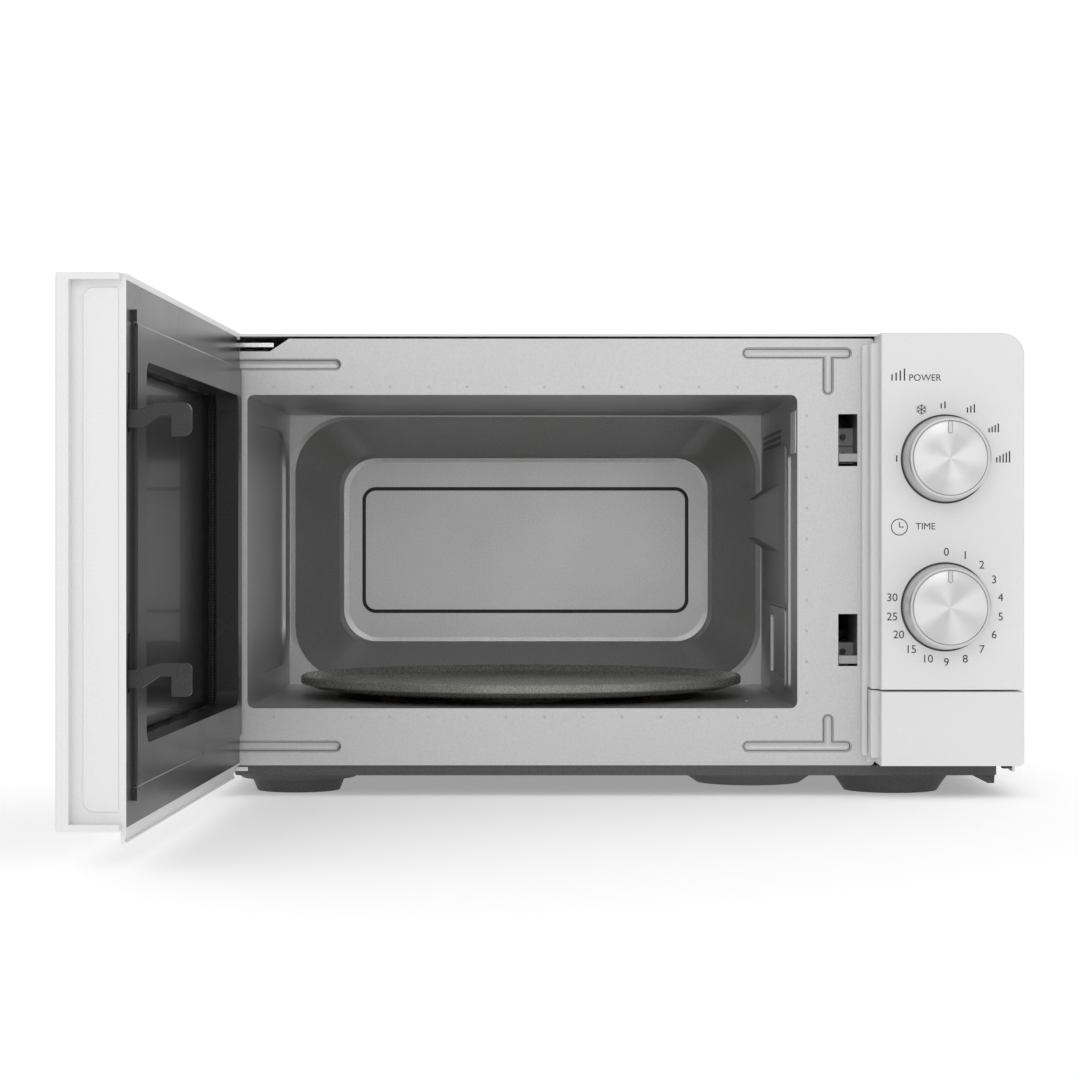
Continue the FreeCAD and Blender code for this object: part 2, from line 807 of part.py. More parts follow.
def control_panel():
    """White moulded fascia: a deep shell with a stepped left side and a lower frame."""
    skin = block((panel_left, right), (panel_front, front), (panel_low, panel_top))
    skin = rounded(skin, s.panel_corner, lambda middle, along:
                   abs(along.y) > 0.9 and middle.x > float(right) - 1
                   and middle.z > float(panel_top) - 1)
    skin = rounded(skin, 1.0, soft_front)
    wall = s.panel_wall
    hollow = block((panel_left + wall, right - wall), (panel_front + wall, front + 1),
                   (panel_low + wall, panel_top - wall))
    hollow = rounded(hollow, float(s.panel_corner) - float(wall), lambda middle, along:
                     abs(along.y) > 0.9 and middle.x > float(right) - 4
                     and middle.z > float(panel_top) - 4)
    ledge = block((ledge_left, panel_left + 1), (front - s.panel_ledge_depth, front),
                  (panel_low, ledge_high))
    ledge = rounded(ledge, 1.4, lambda middle, along:
                    near(middle.x, ledge_left) and middle.y < float(front) - 1)
    step = block((step_left, ledge_left), (front - s.panel_step_depth, front),
                 (ledge_low, ledge_high))
    step = rounded(step, 1.2, lambda middle, along:
                   near(middle.x, step_left) and middle.y < float(front) - 1)
    frame = block((ledge_left, right), (front - 1.2, front), (s.button_bottom, panel_low))
    window = block((panel_left + 1.5, right - 40), (front - 3, front + 1),
                   (s.button_bottom + 6, panel_low - 3))
    holes = [rod("y", (knob_x, z), (panel_front - 1, panel_front + 4), s.shaft_radius + 1)
             for z in knob_heights.values()]
    ledge_room = block((ledge_left + 1.6, panel_left + 1.5),
                       (front - s.panel_ledge_depth + 1.6, front + 1),
                       (panel_low + 1.6, ledge_high - 1.6))
    node(cut(fuse(cut(skin, hollow), ledge, step, frame), window, ledge_room, *holes),
         "control_panel")


def release_button():
    """The door release: a hollow push button filling the foot of the fascia."""
    button_back = front - s.button_travel - 1.5
    high = s.button_bottom + s.button_height
    skin = block((panel_left, right), (panel_front, button_back), (s.button_bottom, high))
    skin = rounded(skin, 3, lambda middle, along:
                   abs(along.y) > 0.9 and middle.x > float(right) - 1
                   and middle.z < float(s.button_bottom) + 1)
    skin = rounded(skin, 1.0, soft_front)
    wall = s.panel_wall
    hollow = block((panel_left + wall, right - wall), (panel_front + wall, button_back + 1),
                   (s.button_bottom + wall, high - wall))
    ledge = block((ledge_left + 0.3, panel_left), (front - s.panel_ledge_depth, button_back),
                  (ledge_low, high))
    tab = block((panel_left + 3.7, panel_left + 11.7),
                (panel_front + wall, lever_y - 1.8), (lever_z - 20, lever_z - 18))
    root = block((panel_left + 3.7, panel_left + 11.7),
                 (panel_front + 1, panel_front + wall + 6), (lever_z - 22, lever_z - 16))
    node(fuse(cut(skin, hollow), ledge, tab, root), "release_button")


lever_y, lever_z = plate_back + 6, as_size(62)


def control_units():
    """The mechanical timer and the power selector behind the fascia."""
    seat = panel_front + s.panel_wall
    for label, name, half, deep in (
        ("timer_unit", "timer", 24, 36), ("power_selector", "power", 20, 28)
    ):
        z = knob_heights[name]
        case = block((knob_x - half, knob_x + half), (seat + 2, seat + deep),
                     (z - half, z + half))
        case = rounded(case, 3, lambda middle, along: abs(along.y) > 0.9)
        plate = block((knob_x - half - 4, knob_x + half + 4), (seat, seat + 2),
                      (z - half, z + half))
        bore = rod("y", (knob_x, z), (seat - 1, seat + 18), s.shaft_radius + s.running_gap)
        node(cut(fuse(case, plate), bore), label)


def knobs():
    """Two knobs: a ribless skirt, a spun metal cap with a pointer notch, and a shaft."""
    r_base, r_front, r_cap = s.knob_radius, s.knob_front_radius, s.cap_radius
    low, high, bore = s.knob_lift, s.knob_height, s.shaft_radius
    recess = high - 1.5
    for name, z in knob_heights.items():
        place = Placement(
            Vector(float(knob_x), float(panel_front), float(z)), Rotation(Vector(1, 0, 0), 90)
        )
        skirt = revolved([
            (as_size(0), recess), (r_cap + 0.1, recess), (r_cap + 0.1, high),
            (r_front - 0.8, high), (r_front, high - 0.8), (r_base, low),
            (r_base - 2.2, low), (r_front - 2.2, high - 4), (bore + 4, high - 4),
            (bore + 4, low + 1), (bore, low + 1), (bore, high - 6), (as_size(0), high - 6),
        ])
        node(skirt, f"{name}_knob", place)

        disc = revolved([
            (as_size(0), recess), (r_cap, recess), (r_cap, high + 0.1),
            (r_cap - 0.5, high + 0.5), (as_size(0), high + 0.5),
        ])
        notch = block((-0.8, 0.8), (r_cap - 8.4, r_cap - 1.6), (high, high + 2))
        node(cut(disc, notch), f"{name}_cap", place)

        shaft = revolved([
            (as_size(0), as_size(-16)), (bore, as_size(-16)), (bore, high - 6),
            (as_size(0), high - 6),
        ])
        node(shaft, f"{name}_shaft", place)


control_panel()
release_button()
control_units()
knobs()


# ---------------------------------------------------------------- turntable


def turntable():
    """Glass tray, drive coupler, motor, and the roller ring with its three wheels."""
    centre = (table_x, table_y)
    here = Placement(Vector(float(table_x), float(table_y), 0), Rotation())
    glass_low = s.wheel_axle_height + s.wheel_radius + s.wheel_gap
    glass_top = glass_low + s.tray_glass
    rim = s.tray_radius
    rim_top = glass_low + s.tray_rim_height
    tray = revolved([
        (as_size(0), glass_low), (rim - 34, glass_low), (rim - 33, glass_low - 0.5),
        (rim - 29, glass_low - 0.5), (rim - 26, glass_low + 0.8), (rim - 9, glass_low + 1.8),
        (rim - 3, rim_top - 5.4), (rim - 0.4, rim_top - 4.9), (rim, rim_top - 4.2),
        (rim, rim_top - 0.8), (rim - 0.8, rim_top),
        (rim - 2.2, rim_top), (rim - 6, glass_top + 1.6), (rim - 14, glass_top + 0.4),
        (rim - 27, glass_top), (as_size(0), glass_top),
    ])
    lugs = []
    for i in range(3):
        angle = math.radians(150 + 120 * i)
        lugs.append(rod("z", (17 * math.cos(angle), 17 * math.sin(angle)),
                        (glass_low - 3.6, glass_low + 1), 4))
    node(fuse(tray, *lugs), "glass_tray", here)

    hub = [
        rod("z", centre, (motor_top - 12, dish_floor + 2), s.drive_shaft_radius),
        rod("z", centre, (dish_floor + 2, glass_low - 0.8), 9),
    ]
    for i in range(3):
        wing = block((0, 25), (-3, 3), (glass_low - 7, glass_low - 0.8))
        wing.Placement = Placement(Vector(), Rotation(Vector(0, 0, 1), 90 + 120 * i))
        turned = Rotation(Vector(0, 0, 1), 90 + 120 * i).multVec(Vector(0, -3, 0))
        locate(wing, table_x + turned.x, table_y + turned.y, glass_low - 7)
        hub.append(wing)
    node(fuse(*hub), "drive_coupler")

    case = fuse(rod("z", centre, (motor_top - s.motor_height, motor_top), s.motor_radius),
                block((table_x - 31, table_x + 31), (table_y - 6, table_y + 6),
                      (motor_top - 1.5, motor_top)))
    socket = rod("z", centre, (motor_top - 13, motor_top + 1),
                 s.drive_shaft_radius + s.running_gap)
    node(cut(case, socket), "turntable_motor")

    roller_ring(here)


motor_top = dish_floor - s.sheet - 0.2


def roller_ring(here):
    """A plastic ring with three outward axles, and a wheel turning on each."""
    inner_end = s.wheel_circle - s.wheel_width / 2
    outer_end = s.wheel_circle + s.wheel_width / 2
    low, high = s.wheel_axle_height - 3, s.wheel_axle_height + 3
    ring_out = inner_end - 1.5
    parts = [revolved([(ring_out - 6, low), (ring_out, low), (ring_out, high),
                       (ring_out - 6, high)])]
    for i, angle in enumerate((-90, 30, 150), start=1):
        turn = Rotation(Vector(0, 0, 1), angle + 60)
        outwards = turn.multiply(Rotation(Vector(0, 1, 0), 90))
        axle = rod("z", (0, 0), (0, outer_end - inner_end + 3.6), s.axle_radius)
        cap = rod("z", (0, 0), (0, 1.6), s.axle_radius + 1)
        for item, reach in ((axle, ring_out - 0.5), (cap, outer_end + 0.3)):
            along = turn.multVec(Vector(1, 0, 0))
            item.Placement = Placement(Vector(), outwards)
            locate(item, along.x * reach, along.y * reach, s.wheel_axle_height)
            parts.append(item)
        half = s.wheel_width / 2
        bore, rim = s.axle_radius + s.running_gap, s.wheel_radius
        wheel = revolved([
            (bore, -half), (rim - 0.8, -half), (rim, -half + 0.8), (rim, half - 0.8),
            (rim - 0.8, half), (bore, half),
        ])
        reach = float(s.wheel_circle)
        centre = here.Base + along * reach + Vector(0, 0, float(s.wheel_axle_height))
        node(wheel, f"roller_wheel_{i}", Placement(centre, outwards))
    node(fuse(*parts), "roller_ring", here)


turntable()


# ---------------------------------------------------------------- microwave source and cooling


def waveguide():
    """The duct on the cavity's right wall, and the moulded cover over its mouth inside."""
    y = (table_y - 36, table_y + 92)
    x = (compartment_left, compartment_left + s.waveguide_depth)
    z = (guide_low, guide_high)
    duct = block(x, y, z)
    room = block((x[0] - 1, x[1] - 1), (y[0] + 1, y[1] - 1), (z[0] + 1, z[1] - 1))
    port = rod("x", (magnetron_y, guide_z), (x[1] - 2, x[1] + 1), 9)
    node(cut(duct, room, port), "waveguide")

    thickness = 1.2
    cover_low = guide_low - 11
    sheet_x = (cavity_right - 0.3 - thickness, cavity_right - 0.3)
    cover = block(sheet_x, (front + 66, front + 232), (cover_low, guide_high + 4))
    cover = rounded(cover, 6, lambda middle, along: abs(along.x) > 0.9)
    dome, hollow = (cover_dome(grow, sheet_x) for grow in (0, thickness))
    node(cut(fuse(cover, dome), hollow), "waveguide_cover")


def cover_dome(inset, sheet_x):
    """A loft for the cover's raised bulge, from a wide foot to a smaller top."""
    body = new_body()
    sections = []
    start = sheet_x[1] if inset else sheet_x[0]
    for margin, reach in ((0, start), (12, cavity_right - 13.5 + inset)):
        section = sketch_on(body, "YZ_Plane", reach)
        rounded_rectangle(
            section,
            (front + 108 + margin * 3 + inset, front + 222 - margin + inset * -1),
            (guide_low + 21 + margin * 0.7 + inset, guide_low + 61 - margin * 0.7 - inset),
            3,
        )
        sections.append(section)
    loft = body.newObject("PartDesign::AdditiveLoft", "loft")
    loft.Profile = sections[0]
    loft.Sections = [sections[1]]
    return body


def magnetron():
    """Yoke frame with filter box, and the finned anode with its antenna."""
    x0 = compartment_left + s.waveguide_depth
    y, z = (magnetron_y - 45, magnetron_y + 45), (guide_z - 40, guide_z + 40)
    yoke = block((x0, x0 + 52), y, z)
    window = block((x0 + 3, x0 + 49), (y[0] - 1, y[1] + 1), (z[0] + 3, z[1] - 3))
    port = rod("x", (magnetron_y, guide_z), (x0 - 1, x0 + 4), 8)
    box = block((x0 + 52, x0 + 82), (magnetron_y - 28, magnetron_y + 28),
                (guide_z - 30, guide_z + 30))
    node(fuse(cut(yoke, window, port), box), "magnetron_body")

    anode = [
        rod("x", (magnetron_y, guide_z), (x0 + 3, x0 + 49), 19),
        rod("x", (magnetron_y, guide_z), (x0 - 16, x0 + 3), 7),
        rod("x", (magnetron_y, guide_z), (x0 - 22, x0 - 16), 8),
    ]
    for i in range(6):
        x = x0 + 9 + i * 6.5
        anode.append(block((x, x + 1), (y[0] + 5, y[1] - 5), (z[0] + 3.2, z[1] - 3.2)))
    node(fuse(*anode), "magnetron_anode")


def high_voltage():
    """Transformer, its windings, the capacitor in its clamp, and the diode."""
    x = (right - 105, right - 105 + s.transformer_width)
    y = (front + 79, front + 135)
    z = (base_top, base_top + s.transformer_height)
    core = rounded(block(x, y, z), 2, lambda middle, along: abs(along.y) > 0.9)
    slots = [block((x[0] + a, x[0] + b), (y[0] - 1, y[1] + 1), (z[0] + 14, z[1] - 14))
             for a, b in ((14.5, 29), (s.transformer_width - 29, s.transformer_width - 14.5))]
    node(cut(core, *slots), "transformer_core")

    coils = []
    for start, end in ((y[0] - 18, y[0]), (y[1], y[1] + 18)):
        coil = block((x[0] + 14.5, x[1] - 14.5), (start, end), (z[0] + 14, z[1] - 14))
        coils.append(rounded(coil, 7, lambda middle, along: abs(along.y) > 0.9))
    legs = [block((x[0] + a, x[0] + b), y, (z[0] + 14.3, z[1] - 14.3))
            for a, b in ((14.8, 28.7), (s.transformer_width - 28.7,
                                        s.transformer_width - 14.8))]
    node(fuse(*coils, *legs), "transformer_windings")

    can_x, can_z = (right - 108, right - 54), (base_top + 1.5, base_top + 36.5)
    can_y = (back - 138, back - 50)
    can = block(can_x, can_y, can_z)
    node(rounded(can, 16, lambda middle, along: abs(along.y) > 0.9), "hv_capacitor")
    strap_y = (can_y[0] + 38, can_y[0] + 50)
    strap = block((can_x[0] - 1.3, can_x[1] + 1.3), strap_y, (base_top, can_z[1] + 1.3))
    hole = block((can_x[0] - 0.1, can_x[1] + 0.1), (strap_y[0] - 1, strap_y[1] + 1),
                 (can_z[0] - 0.1, can_z[1] + 0.1))
    strap = rounded(strap, 16, lambda middle, along:
                    abs(along.y) > 0.9 and middle.z > float(can_z[1]))
    hole = rounded(hole, 16, lambda middle, along: abs(along.y) > 0.9)
    ear = block((can_x[1] + 1, can_x[1] + 13), strap_y, (base_top, base_top + 1.2))
    node(fuse(cut(strap, hole), ear), "capacitor_clamp")

    diode = rod("y", (can_x[1] + 24, base_top + 8), (strap_y[0], strap_y[0] + 26), 4.5)
    stand = block((can_x[1] + 20, can_x[1] + 28), (strap_y[0] + 9, strap_y[0] + 17),
                  (base_top, base_top + 6))
    node(fuse(diode, stand), "hv_diode")


def cooling_fan():
    """Shroud on the rear panel, shaded-pole motor, and the blades on its shaft."""
    radius = s.fan_radius
    centre = (fan_x, fan_z)
    rear = back - s.sheet
    half = radius + 5
    shroud = block((fan_x - half, fan_x + half), (rear - 24, rear), (fan_z - half, fan_z + half))
    shroud = rounded(shroud, 10, lambda middle, along: abs(along.y) > 0.9)
    bore = rod("y", centre, (rear - 25, rear + 1), radius + 2)
    arms = []
    for dx, dz in ((-1, -1), (-1, 1), (1, -1), (1, 1)):
        x = fan_x + dx * (radius + 0.5) * 0.72
        z = fan_z + dz * (radius + 0.5) * 0.72
        arms.append(block((x - 4, x + 4), (rear - 27, rear - 23), (z - 4, z + 4)))
    spider = block((fan_x - 37, fan_x + 37), (rear - 28, rear - 25),
                   (fan_z - 37, fan_z + 37))
    opening = cut(spider, rod("y", centre, (rear - 30, rear - 20), 3.2),
                  *[block((fan_x + a, fan_x + a + 26), (rear - 30, rear - 20),
                          (fan_z + b, fan_z + b + 18))
                    for a in (-31, 5) for b in (-29, 11)])
    node(fuse(cut(shroud, bore), opening, *arms), "fan_shroud")

    stator = block((fan_x - 26, fan_x + 26), (rear - 44, rear - 28.2),
                   (fan_z - 22, fan_z + 22))
    coil = block((fan_x - 14, fan_x + 14), (rear - 49, rear - 28.2),
                 (fan_z - 40, fan_z - 22))
    shaft_bore = rod("y", centre, (rear - 46, rear - 27), 2 + s.running_gap)
    node(cut(fuse(stator, coil), shaft_bore), "fan_motor")

    hub = fuse(rod("y", centre, (rear - 19, rear - 5), 9),
               rod("y", centre, (rear - 43, rear - 19), 2))
    blades = [hub]
    for i in range(7):
        blade = block((-7, 7), (-0.7, 0.7), (0, radius))
        tilt = Rotation(Vector(0, 0, 1), 38)
        swing = Rotation(Vector(0, 1, 0), i * 360 / 7)
        turn = swing.multiply(tilt)
        offset = turn.multVec(Vector(-7, -0.7, 0))
        blade.Placement = Placement(Vector(), turn)
        locate(blade, fan_x + offset.x, rear - 12 + offset.y, fan_z + offset.z)
        blades.append(blade)
    node(fuse(*blades), "fan_blades")


def small_electrics():
    """Cavity lamp with its holder and window, mains filter board, thermal cut-out."""
    lamp_y, lamp_z = front + 25, cavity_top - 20.5
    window = block((cavity_right - 0.4, cavity_right + 1.2), (front + 9, front + 41),
                   (cavity_top - 32.5, cavity_top - 8.5))
    node(window, "lamp_window")
    bulb = fuse(rod("z", (compartment_left + 9, lamp_y), (lamp_z - 6, lamp_z + 8), 8),
                rod("z", (compartment_left + 9, lamp_y), (lamp_z + 8, lamp_z + 16), 5))
    node(bulb, "cavity_lamp")
    holder = block((compartment_left + 1, compartment_left + 21), (lamp_y - 12, lamp_y + 12),
                   (lamp_z + 16, lamp_z + 34))
    tab = block((compartment_left, compartment_left + 1), (lamp_y - 12, lamp_y + 12),
                (lamp_z + 22, lamp_z + 26))
    node(fuse(rounded(holder, 3, lambda middle, along: abs(along.z) > 0.9), tab),
         "lamp_holder")

    board = block((right - 96, right - 12), (back - 78, back - s.sheet - 1),
                  (top - 28, top - 26.4))
    foot = block((right - 60, right - 40), (back - s.sheet - 1, back - s.sheet),
                 (top - 34, top - 22))
    choke = rod("z", (right - 76, back - 50), (top - 26.4, top - 12), 9)
    fuse_body = block((right - 46, right - 22), (back - 60, back - 52), (top - 26.4, top - 18))
    capacitor = block((right - 50, right - 30), (back - 40, back - 26), (top - 26.4, top - 10))
    node(fuse(board, foot, choke, fuse_body, capacitor), "filter_board")

    disc = rod("z", (cavity_right - 43, table_y + 20),
               (cavity_top + s.sheet, cavity_top + s.sheet + 9), 8)
    flange = block((cavity_right - 55, cavity_right - 31), (table_y + 15, table_y + 25),
                   (cavity_top + s.sheet, cavity_top + s.sheet + 1))
    node(fuse(disc, flange), "thermal_cutout")


magnetron_y = table_y + 59
guide_z = guide_low + s.waveguide_height / 2

waveguide()
magnetron()
high_voltage()
cooling_fan()
small_electrics()


# ---------------------------------------------------------------- door


pivot_x, pivot_y = left + s.pivot_from_left, front - s.pivot_from_front
door_back = front - s.door_gap
door_front = door_back - s.door_thickness
door_left = left
door_inner = step_left - s.door_edge_clearance
door_right = door_inner + s.door_overhang
door_low, door_high = s.door_bottom, top
open_door = Placement(
    Vector(), Rotation(Vector(0, 0, 1), -float(s.door_open_angle)),
    Vector(float(pivot_x), float(pivot_y), 0),
)


def hinges():
    """A bracket plate with a pin above the door, and one below it."""
    brackets = (
        ("upper_hinge", door_high - 7.5, (door_high - 17, door_high - 7)),
        ("lower_hinge", as_size(14.4), (as_size(16), as_size(26))),
    )
    for label, low, pin_span in brackets:
        z = (low, low + s.hinge_plate)
        tongue = fuse(rod("z", (pivot_x, pivot_y), z, 4.5),
                      block((pivot_x - 4.5, pivot_x + 4.5), (pivot_y, door_back + 1.6), z))
        wide = block((pivot_x - 4.5, pivot_x + hinge_width[label]),
                     (door_back + 1.6, hinge_end[label]), z)
        pin = rod("z", (pivot_x, pivot_y), pin_span, s.hinge_pin_radius)
        node(fuse(tongue, wide, pin), label)


hinge_end = {"upper_hinge": front + 16, "lower_hinge": front}
hinge_width = {"upper_hinge": 25.5, "lower_hinge": 11.0}


def door_frame():
    """White outer moulding: front skin, edge walls, finger channel and hinge bosses."""
    wall = s.door_rim
    shell = block((door_left, door_right), (door_front, door_back), (door_low, door_high))
    shell = rounded(shell, 1.2, lambda middle, along: near(middle.y, door_front))
    finger = block((door_inner, door_right + 1), (door_front + s.door_lip, door_back + 1),
                   (door_low + wall, door_high - wall))
    finger_end = block((door_inner, door_right + 1), (door_back - 1.8, door_back + 1),
                       (door_low - 1, door_high + 1))
    hollow = block((door_left + 4, door_inner - wall),
                   (door_front + s.door_skin, door_back + 1),
                   (door_low + wall, door_high - wall))
    window = block((window_left, window_right), (door_front - 1, door_back),
                   (window_low, window_high))
    window = rounded(window, 10, lambda middle, along: abs(along.y) > 0.9)
    inset = block((door_inner - 1, door_inner + 0.8), (door_front + 11, door_back - 3.2),
                  (door_low + 8, door_high - 6))
    inset = rounded(inset, 5, lambda middle, along:
                    abs(along.x) > 0.9 and middle.y < float(door_front) + 13)
    inset = rounded(inset, 0.6, lambda middle, along: near(middle.x, door_inner + 0.8))
    lip = block((pivot_x + 14, door_inner), (door_back - 2.3, door_back), (12.3, door_low + 1))
    lip_groove = block((pivot_x + 13, door_inner + 1), (door_back - 0.6, door_back + 1),
                       (13.2, 15))

    boss_low = rod("z", (pivot_x, pivot_y), (door_low, door_low + 14), 5)
    boss_high = rod("z", (pivot_x, pivot_y), (door_high - 24, door_high - 8), 5)
    bore = s.hinge_pin_radius + s.running_gap
    bores = [rod("z", (pivot_x, pivot_y), (door_low - 1, door_low + 9), bore),
             rod("z", (pivot_x, pivot_y), (door_high - 18, door_high - 6), bore)]
    pocket = block((door_left - 1, pivot_x + 5.3), (pivot_y - 6.5, door_back + 1),
                   (door_high - 8, door_high - 3.4))
    rebate = block((door_left + 0.6, door_inner - 0.5), (door_back - s.cover_thickness,
                   door_back + 1), (door_low + 1.1, door_high - 2.8))
    stop = block((hook_x - 3.6, hook_x + 2.4), (door_front + s.door_skin, door_front + 12),
                 (hook_spring_top, hook_spring_top + 3))
    body = fuse(cut(shell, finger, finger_end, hollow, window), inset, lip, boss_low,
                boss_high, stop)
    node(cut(body, lip_groove, pocket, rebate, *bores), "door_frame", open_door)


def door_glazing():
    """Tinted outer window, steel inner pan, and the film that covers its screen."""
    front_glass = block((window_left - 6, window_right + 6),
                        (door_front + s.door_skin, door_front + s.door_skin + 3),
                        (window_low - 6, window_high + 6))
    node(front_glass, "door_window", open_door)

    pan_y = door_back - 15.4
    x, z = (pivot_x + 7, hook_x - 5.6), (door_low + 5, door_high - 5)
    pan = block(x, (pan_y, door_back - 3.2), z)
    room = block((x[0] + s.sheet, x[1] - s.sheet), (pan_y + s.sheet, door_back),
                 (z[0] + s.sheet, z[1] - s.sheet))
    node(cut(pan, room), "door_pan", open_door)
    film = block((recess_left + 0.5, recess_right - 0.5),
                 (pan_y + s.sheet, pan_y + s.sheet + 0.4),
                 (recess_low + 0.5, recess_high - 0.5))
    node(film, "door_film", open_door)


def choke_cover():
    """Dark inner frame: border, raised plateau, and a deep recess round the window."""
    plate_y = (door_back - s.cover_thickness, door_back)
    border = block((door_left + 0.7, door_inner - 0.6), plate_y,
                   (door_low + 1.2, door_high - 2.9))
    raised = block((pivot_x, door_inner - 16.4), (door_back - 0.5, door_back + s.plateau_height),
                   (35, door_high - 20))
    raised = rounded(raised, 3, lambda middle, along: abs(along.y) > 0.9)
    raised = rounded(raised, 1.2, lambda middle, along:
                     near(middle.y, door_back + s.plateau_height))
    step_right = door_inner - 15
    step = block((pivot_x, step_right), (door_back - 0.5, door_back + s.plateau_step),
                 (30, door_high - 15))
    tabs = [block((step_right - 2.6, step_right), (door_back - 0.5, door_back + s.plateau_height),
                  (low, low + 5.4)) for low in (as_size(29.6), door_high - 20)]
    depth = door_back + s.plateau_height - s.recess_depth
    across = lambda middle, along: abs(along.y) > 0.9
    tube = block((recess_left - s.recess_wall, recess_right + s.recess_wall),
                 (depth, door_back), (recess_low - s.recess_wall, recess_high + s.recess_wall))
    tube = rounded(tube, 10, across)
    hole = block((recess_left, recess_right), (depth - 1, door_back + 5),
                 (recess_low, recess_high))
    hole = rounded(hole, 8, across)
    slots = [block((hook_x - 3, hook_x + 3), (door_back - 4, door_back + 5), (low, low + 26.3))
             for low in (hook_base - 2.1, hook_base - 2.1 - hook_spacing)]
    notch = block((door_left, pivot_x + 5.6), (pivot_y - 7, door_back + 1),
                  (door_high - 8.2, door_high))
    node(cut(fuse(border, step, raised, *tabs, tube), hole, notch, *slots), "choke_cover",
         open_door)


def latch_hooks():
    """One sprung moulding: a bar in the door's free edge with two hooks on it."""
    x = (hook_x - s.hook_width / 2, hook_x + s.hook_width / 2)
    bar = block(x, (door_back - 19, door_back - 3.2),
                (hook_base - hook_spacing - 4, hook_base + 12))
    parts = [bar]
    for lift in (as_size(0), -hook_spacing):
        low = hook_base + lift
        reach = [
            (-4, 0), (6, 0), (13.9, 5.2), (19.2, 5.2), (19.2, -3.8), (27.8, -3.8),
            (27.8, 10.9), (13.9, 10.9), (4, 7.8), (-4, 7.8),
        ]
        outline = [(door_back + y, low + z) for y, z in reach]
        hook = extruded(outline, "YZ_Plane", x[0], s.hook_width)
        parts.append(rounded(hook, 3.6 if lift.number == 0 else 2.4, lambda middle, along: (
            abs(along.x) > 0.9 and middle.y > float(door_back) + 27)))
    node(fuse(*parts), "door_hooks", open_door)

    helix = doc.addObject("Part::Helix", "helix")
    length = hook_spring_top - (hook_base + 12)
    bind(helix, Pitch=length / 5, Height=length - 1.2, Radius=2.2)
    spring_y = door_back - 14
    wire = doc.addObject("Part::Circle", "wire")
    bind(wire, Radius=0.45)
    wire.Placement = Placement(Vector(2.2, 0, 0), Rotation(Vector(1, 0, 0), 90))
    coil = doc.addObject("Part::Sweep", "coil")
    coil.Sections = [wire]
    coil.Spine = (helix, [])
    coil.Solid = True
    coil.Frenet = True
    foot = Vector(float(hook_x) - 0.6, float(spring_y), float(hook_base) + 12.6)
    node(coil, "hook_spring", open_door.multiply(Placement(foot, Rotation())))


hook_x = slot_x - 0.4
hook_base = upper_slot - 7.1
hook_spacing = upper_slot - lower_slot + 1.3
hook_spring_top = hook_base + 28
recess_left, recess_right = cavity_left + 5, cavity_right - 4.8
recess_low, recess_high = cavity_floor + 3.5, cavity_top - 1.7
window_left, window_right = door_left + s.window_border, door_inner - s.window_border + 10
window_low, window_high = door_low + s.window_border - 6, door_high - s.window_border + 6

hinges()
door_frame()
door_glazing()
choke_cover()
latch_hooks()


# ---------------------------------------------------------------- latch board and release


def latch_board():
    """Plate behind the front plate: hook catches, lever bearing, and switch seats."""
    plate_x = (slot_x1 + 0.6, slot_x1 + 2.8)
    board = block(plate_x, (plate_back + 0.2, plate_back + 57),
                  (lever_z - 8, upper_slot + 34))
    bore = rod("x", (lever_y, lever_z), (plate_x[0] - 1, plate_x[1] + 1),
               lever_axle + s.running_gap)
    catches = []
    for base in (hook_base, hook_base - hook_spacing):
        high = base - 0.5
        catches.append(block((slot_x0 + 0.5, plate_x[0] + 0.5),
                             (plate_back + 0.2, front + 15.6), (high - 4.5, high)))
    foot = block((plate_x[0], compartment_left + 45), (plate_back + 0.2, plate_back + 2.2),
                 (upper_slot + 20, upper_slot + 34))
    node(cut(fuse(board, *catches, foot), bore), "latch_board")


def interlock_switches():
    """Three snap switches on the board, and the plungers that the hooks press."""
    x = (slot_x1 - 15.4, slot_x1 + 0.6)
    hook_tip = door_back + 27.8
    seat = hook_tip + 4.2
    places = [hook_base - 0.6, hook_base + 9.9, hook_base - hook_spacing + 1]
    cases, pins = [], []
    for z in places:
        case = block(x, (seat, seat + 27), (z - 5, z + 5))
        well = rod("y", (slot_x, z), (seat - 1, seat + 5), 1.5 + s.running_gap)
        cases.append(cut(case, well))
        pins.append(rod("y", (slot_x, z), (hook_tip + 0.3, seat + 3.5), 1.5))
    node(group(*cases), "interlock_switches")
    node(group(*pins), "switch_plungers")


def release_lever():
    """Rocker on the board: the button pushes its foot and its arm lifts the hooks."""
    hook_low = hook_base - hook_spacing - 3.8
    arm_y = (front + 20.2, front + 24.5)
    axle = rod("x", (lever_y, lever_z), (slot_x0 + 0.8, panel_left + 13), lever_axle)
    hub = rod("x", (lever_y, lever_z), (slot_x0 + 0.8, slot_x0 + 8), lever_axle + 1.5)
    rest = hook_low - 0.4
    riser = extruded(
        [(lever_y, lever_z - 2), (arm_y[1], lever_z), (arm_y[1], rest), (arm_y[0], rest),
         (arm_y[0], lever_z + 4), (lever_y, lever_z + 2)],
        "YZ_Plane", slot_x0 + 0.8, 7.2,
    )
    foot = block((panel_left + 4.2, panel_left + 12.2), (lever_y - 1.5, lever_y + 1.5),
                 (lever_z - 21, lever_z))
    node(fuse(axle, hub, riser, foot), "release_lever")


lever_axle = as_size(2.5)

latch_board()
interlock_switches()
release_lever()


# ---------------------------------------------------------------- check and write

doc.recompute()
for item in doc.Objects:
    if {"Invalid", "Error"} & set(item.State):
        raise ValueError(f"{item.Name} ({item.Label}) failed: {item.State}")
for item in NODES:
    shape = item.Shape
    if shape.isNull() or not shape.isValid() or not shape.Solids:
        raise ValueError(f"{item.Label} has no valid solid")
    shape.exportStep(f"parts/{item.Label}.step")
print(len(NODES), "sub-parts written")
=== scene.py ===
import math

